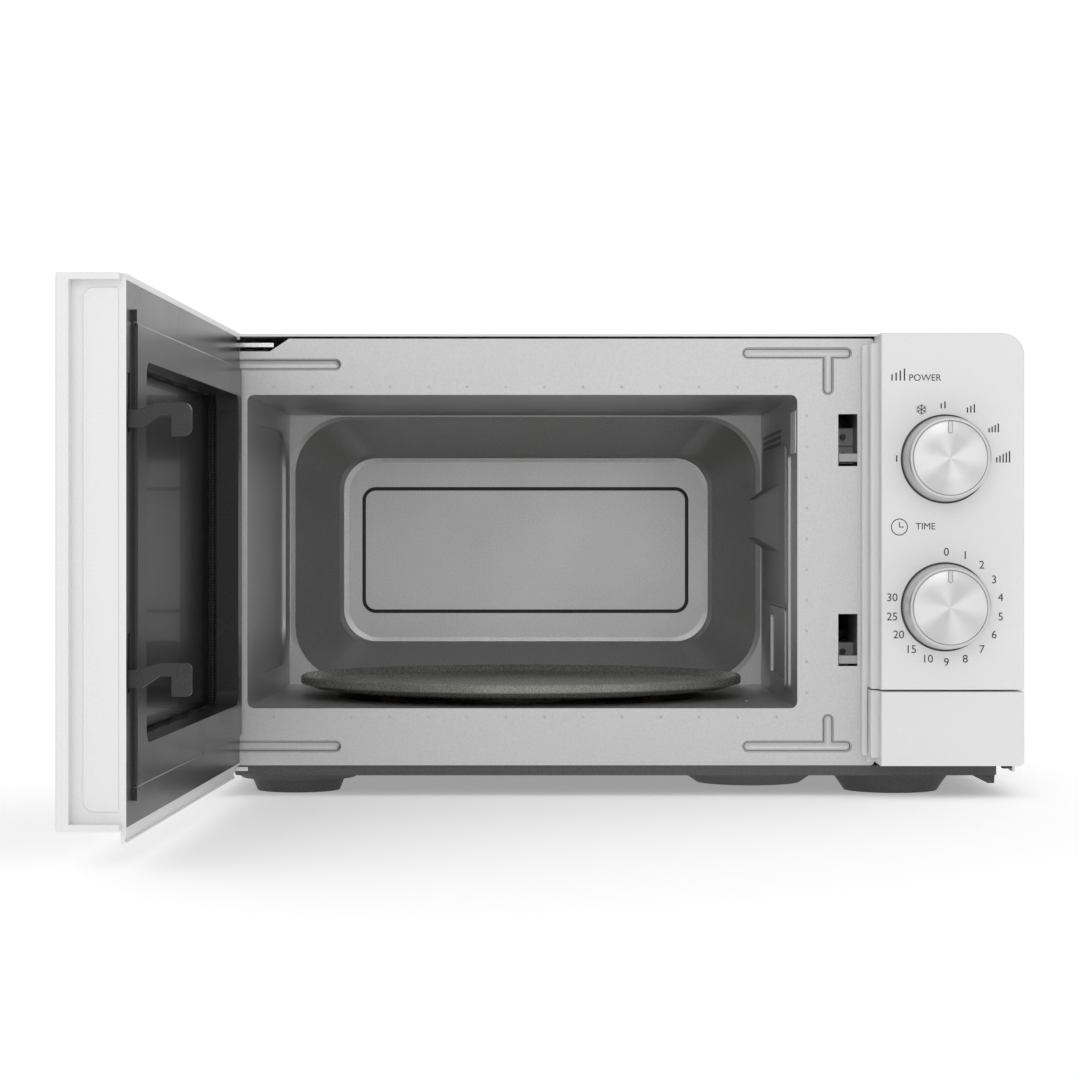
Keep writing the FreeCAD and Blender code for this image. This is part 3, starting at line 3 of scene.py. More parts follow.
import bmesh
import bpy
from mathutils import Matrix, Vector


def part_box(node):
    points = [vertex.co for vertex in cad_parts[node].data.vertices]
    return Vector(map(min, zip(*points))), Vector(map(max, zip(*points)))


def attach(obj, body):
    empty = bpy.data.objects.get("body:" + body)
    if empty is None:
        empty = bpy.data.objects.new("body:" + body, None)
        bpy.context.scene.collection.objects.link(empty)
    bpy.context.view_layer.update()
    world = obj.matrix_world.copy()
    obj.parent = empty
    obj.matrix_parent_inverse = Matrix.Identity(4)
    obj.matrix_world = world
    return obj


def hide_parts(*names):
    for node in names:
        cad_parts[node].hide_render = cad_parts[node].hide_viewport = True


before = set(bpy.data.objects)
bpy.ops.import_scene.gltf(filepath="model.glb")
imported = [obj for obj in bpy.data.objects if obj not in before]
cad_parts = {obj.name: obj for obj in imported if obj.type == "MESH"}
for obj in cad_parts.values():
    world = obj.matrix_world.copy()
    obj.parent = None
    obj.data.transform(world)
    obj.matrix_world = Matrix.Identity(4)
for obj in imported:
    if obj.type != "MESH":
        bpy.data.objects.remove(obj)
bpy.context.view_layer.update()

# ---- Cabinet wrapper, its screws and edge clip
# One bent steel sheet, powder coated in satin white. The baked coat has a faint ripple and
# a fine grain. Six zinc-plated screws hold it to the rear panel.


def effect(name, takes, gives):
    """An empty shader group with these sockets, and its input and output nodes."""
    group = bpy.data.node_groups.new(name, "ShaderNodeTree")
    for label, value in takes.items():
        kind = "NodeSocketColor" if isinstance(value, tuple) else "NodeSocketFloat"
        socket = group.interface.new_socket(label, in_out="INPUT", socket_type=kind)
        socket.default_value = value
    for label, kind in gives.items():
        group.interface.new_socket(label, in_out="OUTPUT", socket_type="NodeSocket" + kind)
    return group, group.nodes.new("NodeGroupInput"), group.nodes.new("NodeGroupOutput")


def put(tree, kind, sockets=(), **settings):
    """Adds a shader node, sets or links its sockets, and gives the node back."""
    added = tree.nodes.new("ShaderNode" + kind)
    for setting, value in settings.items():
        setattr(added, setting, value)
    for socket, value in dict(sockets).items():
        if isinstance(value, bpy.types.NodeSocket):
            tree.links.new(value, added.inputs[socket])
        else:
            added.inputs[socket].default_value = value
    return added


def sums(tree, operation, first, second):
    """One Math node's output."""
    return put(tree, "Math", {0: first, 1: second}, operation=operation).outputs[0]


def blended(tree, share, first, second):
    """One colour Mix node's output."""
    added = put(tree, "Mix", data_type="RGBA")
    for socket, value in ((0, share), (6, first), (7, second)):
        if isinstance(value, bpy.types.NodeSocket):
            tree.links.new(value, added.inputs[socket])
        else:
            added.inputs[socket].default_value = value
    return added.outputs[2]


grain, given, made = effect(
    "baked_grain",
    {"Colour": (0.8, 0.8, 0.8, 1.0), "Fleck": (0.7, 0.7, 0.7, 1.0), "Grains": 1200.0,
     "Amount": 0.5, "Roughness": 0.4, "Handling": 0.1},
    {"Colour": "Color", "Roughness": "Float", "Height": "Float"},
)
place = put(grain, "TexCoord").outputs["Object"]
fine = put(grain, "TexNoise", {"Vector": place, "Scale": given.outputs["Grains"],
                               "Detail": 2.0, "Roughness": 0.6}).outputs["Fac"]
cloud = put(grain, "TexNoise", {"Vector": place, "Scale": 16.0, "Detail": 3.0}).outputs["Fac"]
sharp = put(grain, "MapRange", {"Value": fine, "From Min": 0.38, "From Max": 0.66}).outputs[0]
share = sums(grain, "MULTIPLY", sharp, given.outputs["Amount"])
flecked = blended(grain, share, given.outputs["Colour"], given.outputs["Fleck"])
hazy = sums(grain, "MULTIPLY", cloud, 0.12)
grain.links.new(blended(grain, hazy, flecked, given.outputs["Fleck"]), made.inputs["Colour"])
swing = sums(grain, "SUBTRACT", cloud, 0.5)
gloss = sums(grain, "MULTIPLY", swing, given.outputs["Handling"])
grain.links.new(sums(grain, "ADD", gloss, given.outputs["Roughness"]), made.inputs["Roughness"])
grain.links.new(fine, made.inputs["Height"])


def blank(name):
    """A new material, with its node tree and its shader."""
    material = bpy.data.materials.new(name)
    material.use_nodes = True
    return material, material.node_tree, material.node_tree.nodes["Principled BSDF"]


def grey(value):
    return (value, value, value, 1.0)


def grained(name, colour, fleck, grains, amount, roughness, relief, metallic=0.0, coat=0.0,
            handling=0.1):
    """Paint or moulded plastic: the grain group, with relief in metres from the same grain."""
    material, tree, shader = blank(name)
    skin = put(tree, "Group", node_tree=grain)
    for label, value in (("Colour", colour), ("Fleck", fleck), ("Grains", grains),
                         ("Amount", amount), ("Roughness", roughness), ("Handling", handling)):
        skin.inputs[label].default_value = value
    bump = put(tree, "Bump", {"Height": skin.outputs["Height"], "Distance": relief,
                              "Strength": 1.0})
    tree.links.new(skin.outputs["Colour"], shader.inputs["Base Color"])
    tree.links.new(skin.outputs["Roughness"], shader.inputs["Roughness"])
    tree.links.new(bump.outputs["Normal"], shader.inputs["Normal"])
    shader.inputs["Metallic"].default_value = metallic
    shader.inputs["Coat Weight"].default_value = coat
    return material


def finish(material, *nodes):
    """Gives a material to all the slots of these CAD nodes."""
    for name in nodes:
        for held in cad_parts[name].material_slots:
            held.material = material


powder_white = grained("powder_white", grey(0.80), grey(0.73), 900.0, 0.5, 0.38, 0.00003)
finish(powder_white, "outer_cabinet")

plated, given, made = effect(
    "zinc_bloom",
    {"Colour": (0.6, 0.6, 0.6, 1.0), "Dull": (0.4, 0.4, 0.4, 1.0), "Flakes": 60.0,
     "Roughness": 0.35},
    {"Colour": "Color", "Roughness": "Float", "Height": "Float"},
)
place = put(plated, "TexCoord").outputs["Object"]
crystal = put(plated, "TexVoronoi", {"Vector": place, "Scale": given.outputs["Flakes"],
                                     "Randomness": 1.0})
tone = put(plated, "SeparateColor", {"Color": crystal.outputs["Color"]}).outputs["Red"]
scuff = put(plated, "TexNoise", {"Vector": place, "Scale": 420.0, "Detail": 4.0}).outputs["Fac"]
mixed = sums(plated, "MULTIPLY", sums(plated, "ADD", tone, scuff), 0.5)
plated.links.new(blended(plated, mixed, given.outputs["Colour"], given.outputs["Dull"]),
                 made.inputs["Colour"])
swing = sums(plated, "MULTIPLY", sums(plated, "SUBTRACT", mixed, 0.5), 0.25)
plated.links.new(sums(plated, "ADD", swing, given.outputs["Roughness"]), made.inputs["Roughness"])
plated.links.new(scuff, made.inputs["Height"])


def metal(name, colour, dull, flakes, roughness, relief=0.00001):
    """Bare or plated sheet metal, with crystal patches and light scuffs."""
    material, tree, shader = blank(name)
    skin = put(tree, "Group", node_tree=plated)
    for label, value in (("Colour", colour), ("Dull", dull), ("Flakes", flakes),
                         ("Roughness", roughness)):
        skin.inputs[label].default_value = value
    bump = put(tree, "Bump", {"Height": skin.outputs["Height"], "Distance": relief})
    tree.links.new(skin.outputs["Colour"], shader.inputs["Base Color"])
    tree.links.new(skin.outputs["Roughness"], shader.inputs["Roughness"])
    tree.links.new(bump.outputs["Normal"], shader.inputs["Normal"])
    shader.inputs["Metallic"].default_value = 1.0
    return material


bright_zinc = metal("bright_zinc", grey(0.72), grey(0.55), 900.0, 0.28)
black_moulding = grained("black_moulding", grey(0.022), grey(0.05), 1500.0, 0.5, 0.42, 0.00004)
finish(bright_zinc, "cabinet_screws")
finish(black_moulding, "cabinet_clip", "cord_gland")

# ---- Rear panel and wall spacers
# A galvanised sheet with punched air slots closes the back. Two rubber blocks on it keep the
# oven off the wall.

galvanised = metal("galvanised", (0.60, 0.61, 0.62, 1.0), (0.40, 0.41, 0.43, 1.0), 90.0, 0.42)
soft_rubber = grained("soft_rubber", grey(0.018), grey(0.045), 800.0, 0.6, 0.75, 0.00006)
finish(galvanised, "rear_panel")
finish(soft_rubber, "rear_spacers")

# ---- Base plate
# One steel pressing with hollow round feet, hooked and screwed under the cabinet. Its coat is
# a neutral dark grey with a coarse sandy texture.

base_coat = grained("base_coat", grey(0.060), grey(0.11), 1100.0, 0.6, 0.55, 0.00008)
finish(base_coat, "base_plate")

# ---- Front plate
# Light grey painted steel around the cavity mouth. The paint is finely speckled, and pressed
# beads and spot-weld dimples show through it. A dark band of painted shade lines the beads part way
# down.

front_paint = grained("front_paint", grey(0.60), grey(0.48), 1500.0, 0.55, 0.38, 0.00004,
                      metallic=0.4)


def painted_shade_between(material, name, start, end, tone):
    """A copy of a material with painted shade, a darker tone between two depths in y, on its pressed
    marks.
    """
    shaded = material.copy()
    shaded.name = name
    tree = shaded.node_tree
    place = put(tree, "TexCoord").outputs["Object"]
    depth = put(tree, "SeparateXYZ", {"Vector": place}).outputs["Y"]
    shade_band = sums(tree, "MULTIPLY", sums(tree, "GREATER_THAN", depth, start),
                  sums(tree, "LESS_THAN", depth, end))
    skin = next(n for n in tree.nodes if n.type == "GROUP")
    tree.links.new(blended(tree, shade_band, skin.outputs["Colour"], grey(tone)),
                   tree.nodes["Principled BSDF"].inputs["Base Color"])
    return shaded


# Painted shade: a near-black band 1.4 to 1.7 mm behind the plate's face darkens the bead walls.
plate_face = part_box("front_plate")[0].y
bead_shade_depths = (plate_face + 0.0014, plate_face + 0.0017)
finish(painted_shade_between(front_paint, "marked_front_paint", *bead_shade_depths, 0.06), "front_plate")

# ---- Oven cavity
# Five pressed walls are spot welded together and sprayed with a grey, speckled oven enamel.
# The right wall has a patch of small air holes in front of the fan duct, painted on as
# near-black dots of painted shade, and a domed rivet head stands in the floor near the front
# corner. A line of painted shade darkens the groove round the back wall's pocket.

cavity_enamel = grained("cavity_enamel", grey(0.62), grey(0.46), 1300.0, 0.7, 0.40, 0.00005,
                        metallic=0.8)
finish(cavity_enamel, "cavity_left_wall", "cavity_ceiling", "cavity_floor")

# Painted shade: the pressed groove line round the back wall's pocket is darkened to near-black.
pocket_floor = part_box("cavity_back")[1].y - 0.0024
groove_shade_depths = (pocket_floor + 0.0002, pocket_floor + 0.0017)
finish(painted_shade_between(cavity_enamel, "pocket_enamel", *groove_shade_depths, 0.03), "cavity_back")


def add_piece(name, shape, material, body):
    """Closes a bmesh into a named piece that rides on a body."""
    mesh = bpy.data.meshes.new(name)
    bmesh.ops.remove_doubles(shape, verts=shape.verts, dist=1e-6)
    bmesh.ops.recalc_face_normals(shape, faces=shape.faces)
    shape.to_mesh(mesh)
    shape.free()
    piece = bpy.data.objects.new(name, mesh)
    bpy.context.collection.objects.link(piece)
    mesh.materials.append(material)
    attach(piece, body)
    return piece


def smooth(piece, degrees=35.0):
    """Smooth shading with edges kept sharp above an angle."""
    for face in piece.data.polygons:
        face.use_smooth = True
    piece.data.set_sharp_from_angle(angle=math.radians(degrees))


floor_low, floor_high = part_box("cavity_floor")
rivet_radius, rivet_flatness = 0.0022, 0.55
rivet_spot = (floor_high.x - 0.024, floor_low.y + 0.075, floor_high.z - 0.0002)
rivet = bmesh.new()
bmesh.ops.create_uvsphere(rivet, u_segments=24, v_segments=12, radius=rivet_radius)
bmesh.ops.scale(rivet, vec=(1.0, 1.0, rivet_flatness), verts=rivet.verts)
bmesh.ops.translate(rivet, vec=rivet_spot, verts=rivet.verts)
smooth(add_piece("floor_rivet", rivet, bright_zinc, "oven"))

# Painted shade: the air holes are not cut; they are near-black, non-metallic dots in a box on the
# right wall, standing in for the shade behind them.
vented_enamel = cavity_enamel.copy()
vented_enamel.name = "vented_enamel"
tree = vented_enamel.node_tree
wall_low, wall_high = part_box("cavity_right_wall")
patch_low = Vector((0.0, wall_low.y + 0.110, wall_high.z - 0.043))
patch_high = Vector((0.0, wall_low.y + 0.252, wall_high.z - 0.015))
place = put(tree, "SeparateXYZ", {"Vector": put(tree, "TexCoord").outputs["Object"]})
inside = 1.0
for along in "YZ":
    low_edge, high_edge = getattr(patch_low, along.lower()), getattr(patch_high, along.lower())
    past = sums(tree, "GREATER_THAN", place.outputs[along], low_edge)
    before = sums(tree, "LESS_THAN", place.outputs[along], high_edge)
    inside = sums(tree, "MULTIPLY", sums(tree, "MULTIPLY", past, before), inside)
dots = put(tree, "CombineXYZ", {"Y": place.outputs["Y"], "Z": place.outputs["Z"]}).outputs[0]
hexes = put(tree, "TexVoronoi", {"Vector": dots, "Scale": 260.0, "Randomness": 0.0})
punched = sums(tree, "LESS_THAN", hexes.outputs["Distance"], 0.40)
painted_hole_shade = sums(tree, "MULTIPLY", punched, inside)
skin = next(n for n in tree.nodes if n.type == "GROUP")
shader = tree.nodes["Principled BSDF"]
tree.links.new(blended(tree, painted_hole_shade, skin.outputs["Colour"], grey(0.006)),
               shader.inputs["Base Color"])
tree.links.new(sums(tree, "MULTIPLY", sums(tree, "SUBTRACT", 1.0, painted_hole_shade), 0.8),
               shader.inputs["Metallic"])
finish(vented_enamel, "cavity_right_wall")

# ---- Waveguide cover and lamp window
# The cover is a grey heat-proof board, pressed to shape and clipped to the right wall. The
# window is a milky plate held before the lamp.

cover_board = grained("cover_board", grey(0.38), grey(0.30), 900.0, 0.6, 0.45, 0.00005)
milk_window = grained("milk_window", (0.86, 0.86, 0.84, 1.0), grey(0.78), 700.0, 0.4, 0.3,
                      0.00002)
finish(cover_board, "waveguide_cover")
finish(milk_window, "lamp_window")

# ---- Turntable drive, rollers and tray
# A nylon coupler turns a heavy tray of toughened smoky glass, which rolls on three brown
# wheels with pale hub caps, in a ring lying on the floor of the cavity.

nylon = grained("nylon", (0.72, 0.72, 0.68, 1.0), (0.60, 0.60, 0.55, 1.0), 700.0, 0.5, 0.45,
                0.00003)
ring_brown = grained("ring_brown", (0.055, 0.047, 0.037, 1.0), (0.10, 0.085, 0.065, 1.0), 900.0,
                     0.6, 0.45, 0.00005)
wheel_brown = grained("wheel_brown", (0.16, 0.11, 0.055, 1.0), (0.09, 0.06, 0.03, 1.0), 900.0,
                      0.5, 0.4, 0.00004)
finish(nylon, "drive_coupler")
finish(ring_brown, "roller_ring")
finish(wheel_brown, "roller_wheel_1", "roller_wheel_2", "roller_wheel_3")


def turned(profile, centre, axis, steps):
    """A closed outline of (radius, height) points spun about an axis through centre."""
    shape = bmesh.new()
    up = Vector(axis)
    out = up.orthogonal().normalized()
    corners = [shape.verts.new(Vector(centre) + out * r + up * h) for r, h in profile]
    loop = [shape.edges.new((a, b)) for a, b in zip(corners, corners[1:] + corners[:1])]
    bmesh.ops.spin(shape, geom=corners + loop, cent=Vector(centre), axis=up,
                   angle=math.tau, steps=steps, use_merge=True)
    return shape


smoky_glass, tree, shader = blank("smoky_glass")
place = put(tree, "TexCoord").outputs["Object"]
ripple = put(tree, "TexNoise", {"Vector": place, "Scale": 55.0, "Detail": 2.0}).outputs["Fac"]
stipple = put(tree, "TexNoise", {"Vector": place, "Scale": 1400.0, "Detail": 2.0}).outputs["Fac"]
shader.inputs["Transmission Weight"].default_value = 0.3
shader.inputs["IOR"].default_value = 1.5
tree.links.new(blended(tree, sums(tree, "MULTIPLY", ripple, stipple), (0.27, 0.27, 0.245, 1.0),
                       (0.50, 0.50, 0.46, 1.0)), shader.inputs["Base Color"])
tree.links.new(sums(tree, "ADD", sums(tree, "MULTIPLY", stipple, 0.3), 0.12),
               shader.inputs["Roughness"])
bump = put(tree, "Bump", {"Height": stipple, "Distance": 0.00002, "Strength": 0.6})
tree.links.new(bump.outputs["Normal"], shader.inputs["Normal"])
finish(smoky_glass, "glass_tray")

ring_low, ring_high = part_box("roller_ring")
ring_centre = (ring_low + ring_high) / 2
for number in (1, 2, 3):
    low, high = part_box(f"roller_wheel_{number}")
    hub = (low + high) / 2
    outwards = Vector((hub.x - ring_centre.x, hub.y - ring_centre.y, 0.0)).normalized()
    start = hub + outwards * 0.0036
    oval = turned([(0.0, 0.0), (0.0028, 0.0), (0.0028, 0.0005), (0.0023, 0.0010), (0.0, 0.0012)],
                  start, outwards, 32)
    cap = add_piece(f"hub_cap_{number}", oval, nylon, "rollers")
    smooth(cap)

# ---- Control panel and door button
# One white moulding with a fine spark-eroded texture is screwed to the cabinet's front edge.
# A wide hinged button in the same plastic closes its lower end.

panel_white = grained("panel_white", grey(0.80), grey(0.74), 1400.0, 0.5, 0.34, 0.00003)
finish(panel_white, "control_panel", "release_button")

# ---- Knobs
# Silver-painted knobs on nylon shafts, each before a black ring laid on the panel as painted
# shadow of the gap behind the knob. Each carries a cap of spun aluminium, with painted
# highlights in sectors round it, and a small pill-shaped pointer near the cap's edge.

knob_paint = grained("knob_paint", grey(0.60), grey(0.52), 1500.0, 0.5, 0.3, 0.00002,
                     metallic=0.55)
pointer_grey = grained("pointer_grey", grey(0.34), grey(0.42), 1500.0, 0.4, 0.4, 0.00001)
finish(knob_paint, "power_knob", "timer_knob")
finish(nylon, "power_shaft", "timer_shaft")


def spun_metal_painted_sheen(name, centre):
    """Aluminium turned in fine rings about the knob's own axis, with painted highlights in sectors
    round it.
    """
    material, tree, shader = blank(name)
    place = put(tree, "TexCoord").outputs["Object"]
    shift = put(tree, "Mapping", {"Vector": place, "Location": -centre}).outputs[0]
    parts = put(tree, "SeparateXYZ", {"Vector": shift})
    flat = put(tree, "CombineXYZ", {"X": parts.outputs["X"], "Y": parts.outputs["Z"]})
    reach = put(tree, "VectorMath", {0: flat.outputs[0]}, operation="LENGTH").outputs["Value"]
    rings = put(tree, "TexNoise", {"W": sums(tree, "MULTIPLY", reach, 5200.0), "Scale": 1.0,
                                   "Detail": 2.0}, noise_dimensions="1D").outputs["Fac"]
    # Painted highlight: four narrow and two broad light and dark sectors round the axis are put into
    # the colour as the sheen of spun metal.
    angle = sums(tree, "ARCTAN2", parts.outputs["Z"], parts.outputs["X"])
    highlight_wave = sums(tree, "SINE", sums(tree, "ADD", sums(tree, "MULTIPLY", angle, 4.0), 0.6), 0.0)
    highlight_wave = sums(tree, "MULTIPLY", highlight_wave, 0.5)
    broad_highlight = sums(tree, "SINE", sums(tree, "ADD", sums(tree, "MULTIPLY", angle, 2.0), 1.9), 0.0)
    painted_highlight = sums(tree, "ADD", sums(tree, "ADD", highlight_wave, sums(tree, "MULTIPLY", broad_highlight, 0.3)), 0.5)
    painted_sheen = blended(tree, painted_highlight, grey(0.56), grey(0.78))
    colour = blended(tree, sums(tree, "MULTIPLY", rings, 0.35), painted_sheen, grey(0.62))
    tree.links.new(colour, shader.inputs["Base Color"])
    tree.links.new(sums(tree, "ADD", sums(tree, "MULTIPLY", rings, 0.16), 0.26),
                   shader.inputs["Roughness"])
    bump = put(tree, "Bump", {"Height": rings, "Distance": 0.00001, "Strength": 0.5})
    tree.links.new(bump.outputs["Normal"], shader.inputs["Normal"])
    shader.inputs["Metallic"].default_value = 0.5
    shader.inputs["Anisotropic"].default_value = 0.6
    return material


for dial in ("power", "timer"):
    low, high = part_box(f"{dial}_cap")
    centre = (low + high) / 2
    radius = (high.x - low.x) / 2
    depth = high.y - low.y
    front = Vector((centre.x, high.y, centre.z))
    rim = [(0.0, 0.0), (radius, 0.0), (radius, depth * 0.55), (radius - 0.0004, depth * 0.85),
           (radius - 0.0009, depth * 0.95), (radius * 0.55, depth * 0.80), (0.0, depth * 0.62)]
    cap = add_piece(f"{dial}_cap_spun", turned(rim, front, (0, -1, 0), 128),
                    spun_metal_painted_sheen(f"spun_{dial}", centre), f"{dial}_dial")
    smooth(cap)
    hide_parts(f"{dial}_cap")

    # Painted shadow: a thin black ring on the panel round each knob stands in for the shade in the
    # gap behind it.
    panel_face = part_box("control_panel")[0].y
    painted_shadow_ring = turned([(radius * 0.5, 0.0), (radius + 0.0042, 0.0), (radius + 0.0042, 0.00012),
                   (radius * 0.5, 0.00012)],
                  (centre.x, panel_face, centre.z), (0, -1, 0), 96)
    add_piece(f"{dial}_well", painted_shadow_ring, black_moulding, "oven")

    for part, width, rise, colour in (("rim", 0.0014, 0.00025, pointer_grey),
                                      ("fill", 0.0009, 0.00035, knob_paint)):
        pill = bmesh.new()
        bmesh.ops.create_circle(pill, cap_ends=True, segments=32, radius=width)
        for corner in pill.verts:
            corner.co.y += 0.0043 if corner.co.y > 0 else 0.0
        raised = bmesh.ops.extrude_face_region(pill, geom=pill.faces[:], use_keep_orig=True)
        bmesh.ops.translate(pill, vec=(0, 0, rise),
                            verts=[v for v in raised["geom"] if isinstance(v, bmesh.types.BMVert)])
        bmesh.ops.transform(pill, matrix=Matrix.Translation((centre.x, low.y + 0.00025,
                                                             centre.z + 0.0148))
                            @ Matrix.Rotation(math.pi / 2, 4, "X"), verts=pill.verts)
        add_piece(f"{dial}_pointer_{part}", pill, colour, f"{dial}_dial")

# ---- Printed marks
# Dark grey pad printing on the panel: strokes for the power levels, a defrost star,
# minutes round the timer, a small clock and two plain words.

panel_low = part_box("control_panel")[0]
print_ink = grained("print_ink", grey(0.008), grey(0.02), 2500.0, 0.4, 0.6, 0.00001)
ink_face = panel_low.y - 0.00004
ink_depth = 0.00006


def printed_word(shape, words, x, z, capital):
    """Adds words to a bmesh, centred on x, standing on z, with capitals of this height."""
    text = bpy.data.curves.new("words", "FONT")
    text.body = words
    text.size = capital / 0.73
    text.align_x = "CENTER"
    text.extrude = ink_depth / 2
    text.resolution_u = 4
    holder = bpy.data.objects.new("words", text)
    bpy.context.collection.objects.link(holder)
    bpy.context.view_layer.update()
    letters = bpy.data.meshes.new_from_object(holder.evaluated_get(
        bpy.context.evaluated_depsgraph_get()))
    letters.transform(Matrix.Translation((x, ink_face, z)) @ Matrix.Rotation(math.pi / 2, 4, "X"))
    shape.from_mesh(letters)
    bpy.data.objects.remove(holder)
    bpy.data.meshes.remove(letters)


def stroke(shape, x, z, length, width, turn=0.0):
    """Adds one printed line, centred on x and z, upright unless turned clockwise."""
    bmesh.ops.create_cube(shape, size=1.0, matrix=Matrix.Translation((x, ink_face, z))
                          @ Matrix.Rotation(turn, 4, "Y")
                          @ Matrix.Diagonal((width, ink_depth, length, 1.0)))


def level(shape, left, base, heights, pitch):
    """Adds rising strokes side by side, as a signal-strength mark."""
    for step, height in enumerate(heights):
        stroke(shape, left + step * pitch, base + height / 2, height, 0.00074)


dial_x = {d: (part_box(f"{d}_cap")[0].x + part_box(f"{d}_cap")[1].x) / 2 for d in ("power", "timer")}
dial_z = {d: (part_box(f"{d}_cap")[0].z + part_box(f"{d}_cap")[1].z) / 2 for d in ("power", "timer")}

marks = bmesh.new()
x, z = dial_x["timer"], dial_z["timer"]
for step, minutes in enumerate(("0", "1", "2", "3", "4", "5", "6", "7", "8", "9", "10", "15",
                                "20", "25", "30")):
    turn = math.radians(20 * step)
    printed_word(marks, minutes, x + 0.0306 * math.sin(turn) + 0.0006,
                 z + 0.0306 * math.cos(turn) - 0.0022, 0.0046)
printed_word(marks, "TIME", x - 0.0110, z + 0.0430, 0.0038)
clock = (x - 0.0255, z + 0.0443)
stroke(marks, clock[0], clock[1] + 0.0014, 0.0028, 0.0005)
stroke(marks, clock[0] + 0.0012, clock[1], 0.0026, 0.0005, math.pi / 2)
hoop = turned([(0.0042, -ink_depth / 2), (0.0047, -ink_depth / 2), (0.0047, ink_depth / 2),
               (0.0042, ink_depth / 2)], (clock[0], ink_face, clock[1]), (0, 1, 0), 48)
kept = bpy.data.meshes.new("hoop")
hoop.to_mesh(kept)
hoop.free()
marks.from_mesh(kept)
bpy.data.meshes.remove(kept)
add_piece("timer_marks", marks, print_ink, "oven")

marks = bmesh.new()
x, z = dial_x["power"], dial_z["power"] + 0.0005
printed_word(marks, "POWER", x - 0.0113, z + 0.0429, 0.0038)
level(marks, x - 0.0296, z + 0.0430, (0.0035, 0.0044, 0.0056, 0.0067), 0.0023)
level(marks, x - 0.0270, z - 0.0020, (0.0035,), 0.0)
level(marks, x - 0.0023, z + 0.0276, (0.0028, 0.0038), 0.0021)
level(marks, x + 0.0123, z + 0.0252, (0.0029, 0.0038, 0.0047), 0.0019)
level(marks, x + 0.0243, z + 0.0143, (0.0024, 0.0032, 0.0040, 0.0049), 0.0017)
level(marks, x + 0.0286, z - 0.0025, (0.0029, 0.0038, 0.0047, 0.0055, 0.0064), 0.00176)
star = (x - 0.0133, z + 0.0270)
for arm in range(3):
    turn = math.radians(60 * arm)
    stroke(marks, star[0], star[1], 0.0063, 0.00038, turn)
for arm in range(6):
    turn = math.radians(60 * arm)
    for lean in (-1, 1):
        barb = turn + lean * math.radians(52)
        stroke(marks, star[0] + 0.0016 * math.sin(turn) + 0.0007 * math.sin(barb),
               star[1] + 0.0016 * math.cos(turn) + 0.0007 * math.cos(barb), 0.0014, 0.00036, barb)
add_piece("power_marks", marks, print_ink, "oven")

# ---- Door shell, window and inner glazing
# A white moulded frame around a tinted outer window. Inside lie a black steel pan with a
# screen of fine holes, painted as near-black dots of painted shade, a glossy black film and a dark
# inner cover.

window_glass, tree, shader = blank("window_glass")
place = put(tree, "TexCoord").outputs["Object"]
haze = put(tree, "TexNoise", {"Vector": place, "Scale": 30.0, "Detail": 2.0}).outputs["Fac"]
tree.links.new(blended(tree, haze, (0.040, 0.041, 0.044, 1.0), (0.052, 0.053, 0.056, 1.0)),
               shader.inputs["Base Color"])
tree.links.new(sums(tree, "ADD", sums(tree, "MULTIPLY", haze, 0.05), 0.04),
               shader.inputs["Roughness"])
shader.inputs["Transmission Weight"].default_value = 0.75
shader.inputs["Coat Weight"].default_value = 0.4

# Painted shade: the screen's holes are near-black dots on the dark steel, standing in for the shade
# seen through them.
screen, tree, shader = blank("perforated_steel")
place = put(tree, "TexCoord").outputs["Object"]
cells = put(tree, "TexVoronoi", {"Vector": place, "Scale": 620.0, "Randomness": 0.0})
painted_hole_shade = put(tree, "MapRange", {"Value": cells.outputs["Distance"], "From Min": 0.30,
                              "From Max": 0.36}).outputs[0]
tree.links.new(blended(tree, painted_hole_shade, grey(0.006), grey(0.075)), shader.inputs["Base Color"])
tree.links.new(sums(tree, "SUBTRACT", 0.75, sums(tree, "MULTIPLY", painted_hole_shade, 0.35)),
               shader.inputs["Roughness"])
bump = put(tree, "Bump", {"Height": painted_hole_shade, "Distance": 0.0003, "Strength": 0.7})
tree.links.new(bump.outputs["Normal"], shader.inputs["Normal"])

black_film = grained("black_film", grey(0.008), grey(0.014), 300.0, 0.5, 0.24, 0.00001, coat=0.15,
                     handling=0.08)
cover_grey = grained("cover_grey", grey(0.030), grey(0.048), 1400.0, 0.5, 0.26, 0.00003)
hook_grey = grained("hook_grey", grey(0.030), grey(0.055), 1200.0, 0.5, 0.38, 0.00003)
spring_wire = metal("spring_wire", grey(0.55), grey(0.42), 700.0, 0.3)
for dark in (cover_grey, hook_grey, black_film, screen):
    dark.node_tree.nodes["Principled BSDF"].inputs["Specular IOR Level"].default_value = 0.22
finish(panel_white, "door_frame")
finish(window_glass, "door_window")
finish(screen, "door_pan")
finish(black_film, "door_film")
finish(cover_grey, "choke_cover")
finish(hook_grey, "door_hooks")
finish(spring_wire, "hook_spring")
finish(bright_zinc, "upper_hinge", "lower_hinge")

# ---- Latch board, switches and button lever
# A mid-grey moulded board is screwed behind the front plate's two slots. It holds three grey
# snap switches with black plungers, and the lever that the button pushes.

board_grey = grained("board_grey", grey(0.36), grey(0.46), 1100.0, 0.5, 0.45, 0.00004)
switch_grey = grained("switch_grey", grey(0.58), grey(0.48), 1100.0, 0.5, 0.42, 0.00003)
finish(nylon, "release_lever", "timer_unit", "power_selector", "lamp_holder")
finish(board_grey, "latch_board")
finish(switch_grey, "interlock_switches")
finish(black_moulding, "switch_plungers", "hv_diode", "fan_shroud", "fan_blades",
       "thermal_cutout")

# ---- Microwave source, transformer and cooling
# Galvanised boxes, stacked aluminium fins, varnished laminations, copper windings and a
# drawn capacitor can, all inside the closed compartment.

